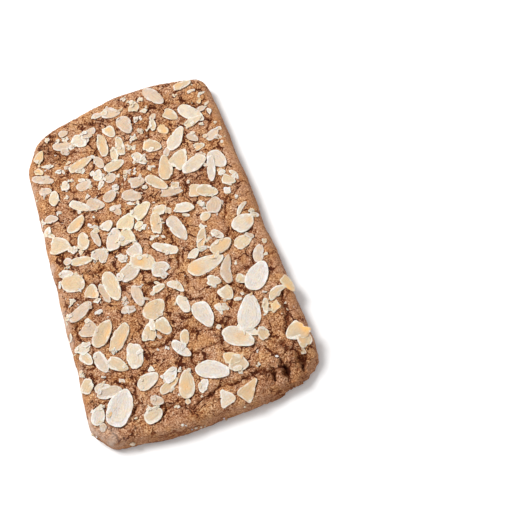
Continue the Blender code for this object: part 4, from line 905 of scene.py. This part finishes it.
def lay_flakes(flakes):
    """Lays each flake on what is under it, and returns the height map of the finished top."""
    xs = np.arange(LEFT - MARGIN, RIGHT + MARGIN, MAP_CELL)
    ys = np.arange(NEAR - MARGIN, FAR + MARGIN, MAP_CELL)
    x, y = np.meshgrid(xs, ys)
    inset = edge_distance(x, y)
    ground = np.where(inset > 0.3, SLAB_HEIGHT + fine_relief(x, y, inset)[0] - shoulder(inset), 0)
    for flake in flakes:
        reach = flake.length / 2 + 1.5
        ends = [(ys, flake.y), (xs, flake.x)]
        near = tuple(slice(*np.searchsorted(line, (at - reach, at + reach))) for line, at in ends)
        dx, dy, under, within = x[near] - flake.x, y[near] - flake.y, ground[near], inset[near]
        u, v = own_axes(flake, x[near], y[near])
        depth = inside(flake, u, v)
        covered = depth > 0
        holding = covered & (within > FIRM)
        if holding.sum() < FEWEST:
            holding = (depth > -0.6) & (within > 0.3)
        raised = bend(flake, u, v)
        bare = under[holding] - raised[holding]
        spots = np.stack([np.ones(holding.sum()), dx[holding], dy[holding]], 1)
        fit = np.linalg.lstsq(spots, bare, rcond=None)[0]
        slope = fit[1:] * min(1, STEEPEST / max(1e-6, np.hypot(*fit[1:])))
        flake.slope = slope + draw_for(FLAKE_SEED, flake.x, flake.y).normal(0, SLOPE_SPREAD, 2)
        flake.top = np.percentile(bare - spots[:, 1:] @ flake.slope, flake.tint.above) + flake.thick
        under[covered] = np.maximum(under, flake.top + lean(flake, dx, dy) + raised)[covered]
    return xs, ys, ground


def press_dough(x, y, height, crack, flakes):
    """Lowers the dough to just inside the flakes on it, and opens a seam round them, which is also coloured
    dark as painted shade.
    """
    height, seam = height.copy(), crack.copy()
    for flake in flakes:
        reach = flake.length / 2 + 2
        near = (np.abs(x - flake.x) < reach) & (np.abs(y - flake.y) < reach)
        u, v = own_axes(flake, x[near], y[near])
        depth = inside(flake, u, v)
        slope = lean(flake, x[near] - flake.x, y[near] - flake.y)
        lower = flake.top - SUNK * flake.thick + slope + bend(flake, u, v)
        mine = height[near]
        wide = flake.moat * held(0.6 + 0.9 * noise(x[near], y[near], MOAT_SIZE, CRUST_SEED + 150))
        moat = wide * held(1 + depth / MOAT_WIDTH) * (depth < 0) * (mine > lower - TOUCHING)
        height[near] = np.where(depth > 0, np.minimum(mine, lower), mine - MOAT_DEPTH * moat)
        # the seam goes into the crack value that darkens the dough: painted shade round each flake
        seam[near] = np.maximum(seam[near], moat)
    return height, seam


def to_frame(points):
    """Drawing millimetres to the frame's metres."""
    return (np.asarray(points) - MIDDLE) * METRES


def new_object(name, data):
    """An object with this data, put in the scene."""
    made = bpy.data.objects.new(name, data)
    bpy.context.scene.collection.objects.link(made)
    return made


def new_piece(name, points, faces, look, layers):
    """A smooth mesh piece in the frame from runs of points, with named values at them."""
    mesh = bpy.data.meshes.new(name)
    mesh.from_pydata(to_frame(np.concatenate(points)).tolist(), [], faces)
    mesh.polygons.foreach_set("use_smooth", [True] * len(mesh.polygons))
    for layer, runs in layers.items():
        values = np.concatenate(runs)
        kind, field = ("FLOAT", "value") if values.ndim == 1 else ("FLOAT_VECTOR", "vector")
        mesh.attributes.new(layer, kind, "POINT").data.foreach_set(field, values.ravel())
    mesh.materials.append(look)
    mesh.update()
    return new_object(name, mesh)


def side_profile():
    """Inset from the widest line, height lost and share of the top's relief, shoulder to foot."""
    rings = []
    for angle in np.radians(np.linspace(0, 90, SHOULDER_RINGS + 1)[1:]):
        inset = BULGE + SHOULDER_REACH * (1 - sin(angle))
        rings.append((inset, SHOULDER_DROP * (1 - cos(angle)), cos(angle)))
    wall = SLAB_HEIGHT - SHOULDER_DROP
    for share in np.linspace(0, 1, WALL_RINGS + 1)[1:]:
        height = wall + share * (FOOT_HEIGHT - wall)
        rings.append((BULGE * (1 - sin(share * tau / 4)), SLAB_HEIGHT - height, 0.0))
    for turn in np.linspace(0, 1, FOOT_RINGS + 1)[1:] * tau / 4:
        rings.append((FOOT_TUCK * (1 - cos(turn)), SLAB_HEIGHT - FOOT_HEIGHT * (1 - sin(turn)), 0.0))
    return rings + [(inset, SLAB_HEIGHT, 0.0) for inset in BASE_INSETS]


def make_dough(flakes, look):
    """The baked dough as a closed mesh: a grid over its top, then rings from its shoulder to its base."""
    across, along = int(SLAB_WIDTH / TOP_STEP), int(SLAB_LENGTH / TOP_STEP)
    places = side_places(across, along)
    edge, out = OUTLINE[places], OUTWARD[places]
    grid = top_grid(edge - out * (SHOULDER_REACH + BULGE), across, along)
    x, y = grid[..., 0], grid[..., 1]
    inset = edge_distance(x, y)
    rise, crack, crust = fine_relief(x, y, inset)
    height, seam = press_dough(x, y, SLAB_HEIGHT + rise, crack, flakes)
    points = [np.dstack([grid, height]).reshape(-1, 3)]
    layers = {
        "crack": [seam.ravel()],
        # painted light and shade: lighter where the crust is higher, darker where it is lower and on the
        # broken corner
        "rise": [(rise + RUBBLE_SINK * crumbling(x, y) - BROKEN_PAINTED_SHADE * broken(x, y)).ravel()],
        # darker where the crust is smooth, and painted shade on the broken corner
        "wall": [np.maximum(0.8 * smooth_band(x, y, inset), 0.5 * broken(x, y)).ravel()],
        "crust": [crust.ravel()],
        "pale": [paleness(x, y, inset).ravel()],
    }
    number = np.arange(x.size).reshape(x.shape)
    low, high = number[:-1], number[1:]
    faces = [np.stack([low[:, :-1], low[:, 1:], high[:, 1:], high[:, :-1]], -1).reshape(-1, 4)]
    rim = np.concatenate([number[0, :-1], number[:-1, -1], number[-1, :0:-1], number[:0:-1, 0]])
    ring_x, ring_y = on_ring(places / len(OUTLINE) * tau)
    length = places * OUTLINE_STEP
    count = x.size
    for inset, lost, share in side_profile():
        x, y = (edge - out * inset).T
        on_wall = (1 - share) * (lost < SLAB_HEIGHT - 0.01)
        grain = crumbs(length, np.full(len(x), lost), CRUMB_SIZE, CRUST_SEED + 160)[1]
        pit = held(noise(length, lost, PIT_SIZE, CRUST_SEED + 180) - PIT_FROM)
        ripple = RIPPLE * fractal(ring_x + lost, ring_y - lost, RIPPLE_SIZE, 3, CRUST_SEED + 90)
        finest = fractal(length, lost, FINEST_SIZE, 2, CRUST_SEED + 170)
        ripple = ripple + 0.15 * (grain - 0.5) + 0.12 * finest
        ripple = on_wall * (np.minimum(ripple, RIPPLE) * (1 + BROKEN_RIPPLE * broken(x, y)) - PIT * pit)
        rise, crack, crust = fine_relief(x, y, np.full(len(x), inset))
        height, seam = press_dough(x, y, SLAB_HEIGHT - lost + share * rise, share * crack, flakes)
        on_top = share > 0.05
        height = height if on_top else np.full(len(x), SLAB_HEIGHT - lost)
        points.append(np.stack([x + out[:, 0] * ripple, y + out[:, 1] * ripple, height], 1))
        # painted shade: the side is coloured darker towards its foot
        low = 2 * held((lost - SLAB_HEIGHT / 2) * 2 / SLAB_HEIGHT)
        ring = (
            # pits in the side are coloured darker: painted shade in them
            seam if on_top else 0.8 * pit * on_wall,
            share * (rise + RUBBLE_SINK * crumbling(x, y)) + 0.5 * (1 - share) * (grain - 0.5),
            np.maximum(1 - share + low, 0.8 * smooth_band(x, y, inset)),
            share * crust + 0.6 * (1 - share),
            paleness(x, y, inset, lost),
        )
        for runs, values in zip(layers.values(), ring):
            runs.append(values)
        below = np.arange(count, count + len(x))
        faces.append(np.stack([np.roll(rim, 1), np.roll(below, 1), below, rim], 1))
        rim, count = below, count + len(x)
    faces = [tuple(face) for face in np.concatenate(faces).tolist()] + [tuple(rim[::-1].tolist())]
    return new_piece("dough", points, faces, look, layers)


def make_flakes(name, flakes, look):
    """All flakes of a kind as one mesh, each a closed slice ringed from its top to its underside."""
    points, faces, start = [], [], 0
    layers = {"grain": [], "rim": [], "edge": [], "tone": [], "roast": [], "tint": []}
    share, drop = np.array(SLICE_RINGS).T
    for flake in flakes:
        count = int(np.clip(RIM_POINTS * flake.length, *RIM_LIMITS))
        angle = np.arange(count) * tau / count
        reach = np.interp(angle, flake.angles, flake.reaches, period=tau)
        u, v = np.outer(share, reach * np.cos(angle)), np.outer(share, reach * np.sin(angle))
        lift = bend(flake, u, v) - drop[:, None] * flake.thick
        dx, dy = u * cos(flake.turn) - v * sin(flake.turn), u * sin(flake.turn) + v * cos(flake.turn)
        height = flake.top + lift + lean(flake, dx, dy)
        points.append(np.stack([flake.x + dx, flake.y + dy, height], -1).reshape(-1, 3))
        number = start + np.arange(u.size).reshape(u.shape)
        for low, high in zip(number, number[1:]):
            faces += np.stack([low, high, np.roll(high, -1), np.roll(low, -1)], 1).tolist()
        faces += [number[0].tolist(), number[-1][::-1].tolist()]
        start += u.size
        spot = [(p - at) / far for p, at, far in zip((u, v), flake.roast_at, flake.roast_reach)]
        layers["roast"].append((flake.roast * np.exp(-spot[0] ** 2 - spot[1] ** 2)).ravel())
        layers["grain"].append(np.stack([u + flake.shift[0], v, lift], -1).reshape(-1, 3))
        layers["rim"].append(np.outer(1 - share, reach).ravel())
        layers["edge"].append(np.full(u.size, flake.tint.rim * min(1, flake.length / 7)))
        layers["tone"].append(np.full(u.size, flake.tone))
        layers["tint"].append(np.tile(flake.tint.colour, (u.size, 1)))
    return new_piece(name, points, faces, look, layers)


def make_crumbs(name, places, look, tints=()):
    """Small rounded lumps as one mesh, each at x, y, height and size."""
    draw = np.random.default_rng(BIT_SEED + 1)
    count, rings, sides = len(places), CRUMB_RINGS, CRUMB_SIDES
    tilt = np.radians(np.linspace(-CRUMB_TILT, CRUMB_TILT, rings))
    turn = np.arange(sides) * tau / sides
    level = [np.outer(np.cos(tilt), way) for way in (np.cos(turn), np.sin(turn))]
    ball = np.stack([*level, np.outer(np.sin(tilt), np.ones(sides))], -1)
    middles, sizes = np.array(places)[:, None, None, :3], np.array(places)[:, 3, None, None, None]
    knobbly = draw.uniform(0.7, 1.25, (count, rings, sides, 1)) * draw.uniform(0.65, 1.2, (count, 1, 1, 3))
    points = (middles + 0.5 * sizes * knobbly * ball).reshape(-1, 3)
    number = np.arange(count * rings * sides).reshape(count, rings, sides)
    low, high = number[:, :-1], number[:, 1:]
    faces = np.stack([low, np.roll(low, -1, 2), np.roll(high, -1, 2), high], -1).reshape(-1, 4).tolist()
    faces += number[:, 0, ::-1].tolist() + number[:, -1].tolist()
    colours = [np.tile(tint.colour, (rings * sides, 1)) for tint in tints]
    return new_piece(name, [points], faces, look, {"tint": colours, "grain": [points]} if tints else {})


def dough_crumbs(flakes, xs, ys, ground):
    """Places and sizes of loose crumbs of dough on the crust."""
    draw = np.random.default_rng(BIT_SEED + 2)
    places = []
    while len(places) < LOOSE_CRUMBS:
        x, y = draw.uniform(LEFT + MARGIN, RIGHT - MARGIN), draw.uniform(NEAR + MARGIN, FAR - MARGIN)
        size = min(CRUMB_LENGTH + draw.exponential(CRUMB_LONGER), LONGEST_CRUMB)
        likely = 0.35 + 0.6 * crumbling(x, y) + 0.4 * fractal(x, y, CRUMB_PATCH, 2, BIT_SEED + 3)
        if draw.uniform(0, 1) < likely and edge_distance(x, y) > CRUMB_INSET and not on_flake(flakes, x, y):
            height = ground[np.searchsorted(ys, y), np.searchsorted(xs, x)]
            places.append((x, y, height + 0.15 * size, size))
    return places


def side_places(count_across, count_along):
    """Where the grid's edge points sit on the outline, from the near left corner round."""
    starts = [int(np.argmin(np.hypot(*(OUTLINE - corner).T))) for corner in GRID_CORNERS]
    places = []
    for k, start in enumerate(starts):
        end = starts[(k + 1) % 4]
        end += len(OUTLINE) if end <= start else 0
        count = (count_across, count_along)[k % 2]
        places.append(start + (end - start) * np.arange(count) / count)
    return np.concatenate(places).astype(int) % len(OUTLINE)


def top_grid(rim, count_across, count_along):
    """Points spread evenly over the flat of the top, between the four sides of its rim."""
    near, right = rim[: count_across + 1], rim[count_across : count_across + count_along + 1]
    back = count_across + count_along
    far = rim[back : back + count_across + 1][::-1]
    left = np.concatenate([rim[back + count_across :], rim[:1]])[::-1]
    u = np.linspace(0, 1, count_across + 1)[None, :, None]
    v = np.linspace(0, 1, count_along + 1)[:, None, None]
    along = (1 - v) * near[None] + v * far[None]
    across = (1 - u) * left[:, None] + u * right[:, None]
    corners = (1 - v) * ((1 - u) * near[0] + u * near[-1]) + v * ((1 - u) * far[0] + u * far[-1])
    return along + across - corners


class Graph:
    """A material's nodes, made one call at a time."""

    def __init__(self, name):
        self.material = bpy.data.materials.new(name)
        self.material.use_nodes = True
        self.tree = self.material.node_tree
        self.shader = self.tree.nodes["Principled BSDF"]

    def feed(self, socket, value):
        if isinstance(value, bpy.types.NodeSocket):
            self.tree.links.new(value, socket)
        else:
            socket.default_value = value

    def add(self, kind, inputs, output=0, **settings):
        """A node's output; inputs and settings go by their names."""
        made = self.tree.nodes.new("ShaderNode" + kind)
        for name, value in settings.items():
            setattr(made, name, value)
        for key, value in inputs.items():
            self.feed(made.inputs[key], value)
        return made.outputs[output]

    def layer(self, name, output="Fac"):
        return self.add("Attribute", {}, output, attribute_type="GEOMETRY", attribute_name=name)

    def math(self, operation, *values):
        return self.add("Math", dict(enumerate(values)), operation=operation)

    def plus(self, base, *terms):
        """A value with others added, each given as the value, its weight and a shift."""
        for value, weight, *shift in terms:
            base = self.math("MULTIPLY_ADD", value, weight, self.math("ADD", base, *shift) if shift else base)
        return base

    def times(self, first, *others):
        for other in others:
            first = self.math("MULTIPLY", first, other)
        return first

    def ramp(self, value, low, high, start=0.0, end=1.0):
        """Value from low to high becomes start to end, held outside."""
        inputs = {"Value": value, "From Min": low, "From Max": high, "To Min": start, "To Max": end}
        return self.add("MapRange", inputs, clamp=True)

    def mix(self, share, first, second, blend="MIX"):
        first, second = ((*c, 1) if isinstance(c, tuple) else c for c in (first, second))
        return self.add("Mix", {0: share, 6: first, 7: second}, 2, data_type="RGBA", blend_type=blend)

    def noise(self, where, scale, detail, roughness, output=0):
        inputs = {"Vector": where, "Scale": scale, "Detail": detail, "Roughness": roughness}
        return self.add("TexNoise", inputs, output)

    def seams(self, where, scale, gap, low, high):
        """1 at the borders of cells that are this open, falling to 0."""
        border = self.add("TexVoronoi", {"Vector": where, "Scale": scale}, feature="DISTANCE_TO_EDGE")
        return self.ramp(self.math("SUBTRACT", border, gap), low, high)

    def ridge(self, value, width):
        """1 where a value that lies about 0.5 crosses it, falling to 0 within a width."""
        return self.ramp(self.math("ABSOLUTE", self.math("SUBTRACT", value, 0.5)), width, 0.0)

    def bump(self, height, strength, distance):
        return self.add("Bump", {"Height": height, "Strength": strength, "Distance": distance})

    def shade(self, value, stops):
        """Colour by value: each stop is a value and its colour."""
        first, last = stops[0][0], stops[-1][0]
        node = self.tree.nodes.new("ShaderNodeValToRGB")
        elements = node.color_ramp.elements
        while len(elements) < len(stops):
            elements.new(0.5)
        for element, (place, colour) in zip(elements, stops):
            element.position = (place - first) / (last - first)
            element.color = (*colour, 1)
        self.feed(node.inputs[0], self.ramp(value, first, last))
        return node.outputs[0]

    def surface(self, **values):
        """Gives the surface its values, and returns the material."""
        for name, value in values.items():
            self.feed(self.shader.inputs[name.replace("_", " ")], value)
        return self.material


def dough_look():
    """Spiced dough: each place is lighter or darker with its height, its cracks and its crumb; its height and
    its cracks give painted light and shade.
    """
    look = Graph("baked_dough")
    place = look.add("TexCoord", {}, "Object")
    crack, rise, wall, crust, pale = map(look.layer, ("crack", "rise", "wall", "crust", "pale"))
    broad, patchy, open_part, thin, grit, dust = (look.noise(place, *kind) for kind in DOUGH_NOISES)
    # islands of crust with thin dark seams between them, and finer seams inside, painted dark as the shade in
    # cracks too thin for the mesh
    bent = look.add(
        "VectorMath", {0: look.noise(place, 240.0, 3.0, 0.5, 1), 1: (SEAM_BEND,) * 3, 2: place},
        operation="MULTIPLY_ADD",
    )
    seam = look.seams(bent, 95.0, look.ramp(open_part, 0.4, 0.64, -0.014, 0.045), 0.012, -0.012)
    fine = look.seams(bent, 330.0, look.ramp(patchy, 0.42, 0.64, 0.0, 0.07), 0.02, -0.035)
    hairline = look.times(look.ridge(thin, 0.03), look.ramp(patchy, 0.56, 0.44, 0.2, 1.0))
    fine = look.math("MAXIMUM", fine, hairline)
    skin = look.ramp(look.plus(crust, (grit, 1.6, -0.8)), 0.3, 0.7)
    opened = look.ramp(look.plus(crack, (grit, -1.6, 0.8)), 0.35, 0.85)
    whole = look.ramp(wall, 0.2, 0.7, 1.0, 0.3)
    level = look.times(
        look.math("MULTIPLY_ADD", grit, 4.6, -2.3),
        look.times(look.ramp(skin, 0.0, 1.0, 1.1, 0.6), look.ramp(wall, 0.2, 0.9, 1.0, 0.4)),
    )
    speck = look.math("MULTIPLY_ADD", dust, 14.5, -7.25)
    level = look.plus(
        level,
        (speck, look.ramp(wall, 0.2, 0.9, 1.0, 0.5)),
        (broad, 2.4, -1.2),
        (skin, 0.5, -0.15),
        # painted light and shade: higher places lighter, lower places and the broken corner darker
        (rise, 0.25, -0.25),
        # darker on the sides, the smooth bands and the broken corner; on the sides and the corner this is
        # painted shade, deepest towards the foot
        (wall, -0.35),
        # thin seams painted dark: painted shade of cracks
        (look.times(seam, whole), -4.8),
        (look.times(fine, whole), -1.0),
        # open cracks and the seams round flakes coloured dark: partly darker dough, partly painted shade
        (opened, -2.6),
    )
    warmth = look.mix(look.ramp(patchy, 0.4, 0.6), DOUGH_GOLDEN, DOUGH_ROSY)
    colour = look.mix(1.0, look.shade(level, DOUGH_SHADES), warmth, "MULTIPLY")
    # pale dust and painted sheen
    dust_and_sheen = look.times(pale, look.ramp(patchy, 0.42, 0.58, 0.2, 1.0))
    return look.surface(
        Base_Color=look.mix(dust_and_sheen, colour, DOUGH_PALE),
        Roughness=0.8,
        Specular_IOR_Level=0.2,
        Normal=look.bump(look.plus(grit, (dust, 0.35), (seam, -0.5), (fine, -0.3)), 1.0, DOUGH_BUMP),
    )


def almond_look():
    """Cut almond: pale with a brighter rim that is partly painted highlight, a toasted patch and fine lines
    along the grain.
    """
    look = Graph("almond")
    grain, tint = look.layer("grain", "Vector"), look.layer("tint", "Vector")
    rim, edge, tone, toasted = map(look.layer, ("rim", "edge", "tone", "roast"))
    along = look.add("VectorMath", {0: grain, 1: (0.14, 1.0, 0.5)}, operation="MULTIPLY")
    lines = look.noise(along, 1.5, 3.0, 0.7)
    cloud = look.noise(grain, 0.8, 5.0, 0.75)
    blotch = look.noise(grain, 0.28, 2.0, 0.5)
    contour = look.math("SINE", look.math("MULTIPLY_ADD", rim, 4.0, look.times(cloud, 7.0)))
    roast = look.math("ADD", toasted, look.ramp(cloud, 0.3, 0.7, -0.25, 0.25))
    roast = look.math("ADD", roast, look.ramp(lines, 0.3, 0.7, -0.15, 0.15))
    inner = look.times(look.ramp(rim, 0.6, 2.6), look.ramp(blotch, 0.65, 0.35, 0.1, 0.9))
    # cool and warm patches at random; the cool ones are partly painted sheen
    warmth = look.mix(look.ramp(blotch, 0.4, 0.6), ALMOND_COOL, ALMOND_WARM)
    colour = look.mix(1.0, tint, warmth, "MULTIPLY")
    for share, shade in (
        (look.ramp(lines, 0.42, 0.66, 0.0, 0.6), ALMOND_LINE),
        (look.ramp(contour, 0.2, 1.0, 0.0, 0.35), ALMOND_DULL),
        (look.ramp(cloud, 0.5, 0.68, 0.0, 0.8), ALMOND_DULL),
        (look.times(tone, 0.7), ALMOND_DULL),
        (inner, ALMOND_INNER),
    ):
        colour = look.mix(share, colour, shade, "MULTIPLY")
    colour = look.mix(look.ramp(roast, 0.2, 1.1), colour, ALMOND_TOAST)
    colour = look.mix(look.ramp(roast, 1.05, 1.9), colour, ALMOND_AMBER)
    # the pale rim, partly painted highlight where the edges catch the light
    frayed = look.ramp(look.plus(rim, (blotch, 5.0, -2.5)), 1.1, 0.2)
    pale_rim_and_highlight = look.times(frayed, look.ramp(cloud, 0.38, 0.6, 0.3, 1.0), look.times(edge, 0.85))
    return look.surface(
        Base_Color=look.mix(pale_rim_and_highlight, colour, ALMOND_RIM),
        Roughness=look.ramp(cloud, 0.3, 0.7, 0.38, 0.6),
        Subsurface_Weight=0.1,
        Subsurface_Scale=0.001,
        Specular_IOR_Level=0.4,
        Normal=look.bump(look.plus(cloud, (lines, 0.7), (contour, 0.06)), 0.7, ALMOND_BUMP),
    )


def camera_axes():
    """The camera's right, up and back directions."""
    level = cos(CAMERA_TILT)
    back = Vector((sin(CAMERA_TURN) * level, -cos(CAMERA_TURN) * level, sin(CAMERA_TILT)))
    right = (-back).cross(Vector((0, 0, 1))).normalized()
    up = right.cross(-back)
    c, s = cos(CAMERA_ROLL), sin(CAMERA_ROLL)
    return c * right + s * up, c * up - s * right, back


def set_camera():
    """A camera above the near side, turned and rolled."""
    right, up, back = camera_axes()
    camera = new_object("camera", bpy.data.cameras.new("camera"))
    camera.data.lens = LENS
    camera.data.clip_start = 0.01
    place = Vector(to_frame(LOOKED_AT)) + back * CAMERA_DISTANCE * METRES
    camera.matrix_world = Matrix.Translation(place) @ Matrix((right, up, back)).transposed().to_4x4()
    bpy.context.scene.camera = camera


def set_light(name, towards, distance, size, power):
    """A soft square light that shines on the slab from a direction given in camera terms."""
    right, up, back = camera_axes()
    way = (right * towards[0] + up * towards[1] + back * towards[2]).normalized()
    light = new_object(name, bpy.data.lights.new(name, "AREA"))
    light.data.size = size
    light.data.energy = power
    light.location = way * distance
    light.rotation_euler = way.to_track_quat("Z", "Y").to_euler()


def set_stage():
    """A white floor and an even white surround."""
    far = FLOOR_SIZE / 2
    mesh = bpy.data.meshes.new("floor")
    mesh.from_pydata([(-far, -far, 0), (far, -far, 0), (far, far, 0), (-far, far, 0)], [], [(0, 1, 2, 3)])
    mesh.materials.append(Graph("white_floor").surface(Base_Color=(*FLOOR_COLOUR, 1), Roughness=0.9))
    floor = new_object("floor", mesh)
    floor.location.z = -FLOOR_GAP
    world = bpy.data.worlds.new("surround")
    world.use_nodes = True
    surround = world.node_tree.nodes["Background"].inputs
    surround["Color"].default_value = (*SKY_COLOUR, 1)
    surround["Strength"].default_value = SKY_STRENGTH
    bpy.context.scene.world = world
    bpy.context.scene.view_settings.view_transform = "Standard"
    set_light("key", *KEY_LIGHT)
    set_light("fill", *FILL_LIGHT)


flakes = [plan_flake(row) for row in FLAKES]
bits = [plan_flake(row) for row in scattered_bits(flakes)]
ground = lay_flakes(flakes + bits)
dough = make_dough(flakes, dough_look())
almond = almond_look()
loose = make_crumbs("dough_crumbs", dough_crumbs(flakes, *ground), dough.data.materials[0])
stuck, side_tints = zip(*((crumb[:4], crumb[4]) for crumb in SIDE_CRUMBS))
toppings = [
    make_crumbs("side_crumbs", stuck, almond, side_tints),
    make_flakes("almond_flakes", [flake for flake in flakes if flake.length > LARGE], almond),
    make_flakes("almond_shards", [flake for flake in flakes if flake.length <= LARGE], almond),
    make_flakes("almond_bits", bits, almond),
]

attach(dough, "root")
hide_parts("cookie")
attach(loose, "root")
for topping in toppings:
    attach(topping, "root")

set_camera()
set_stage()
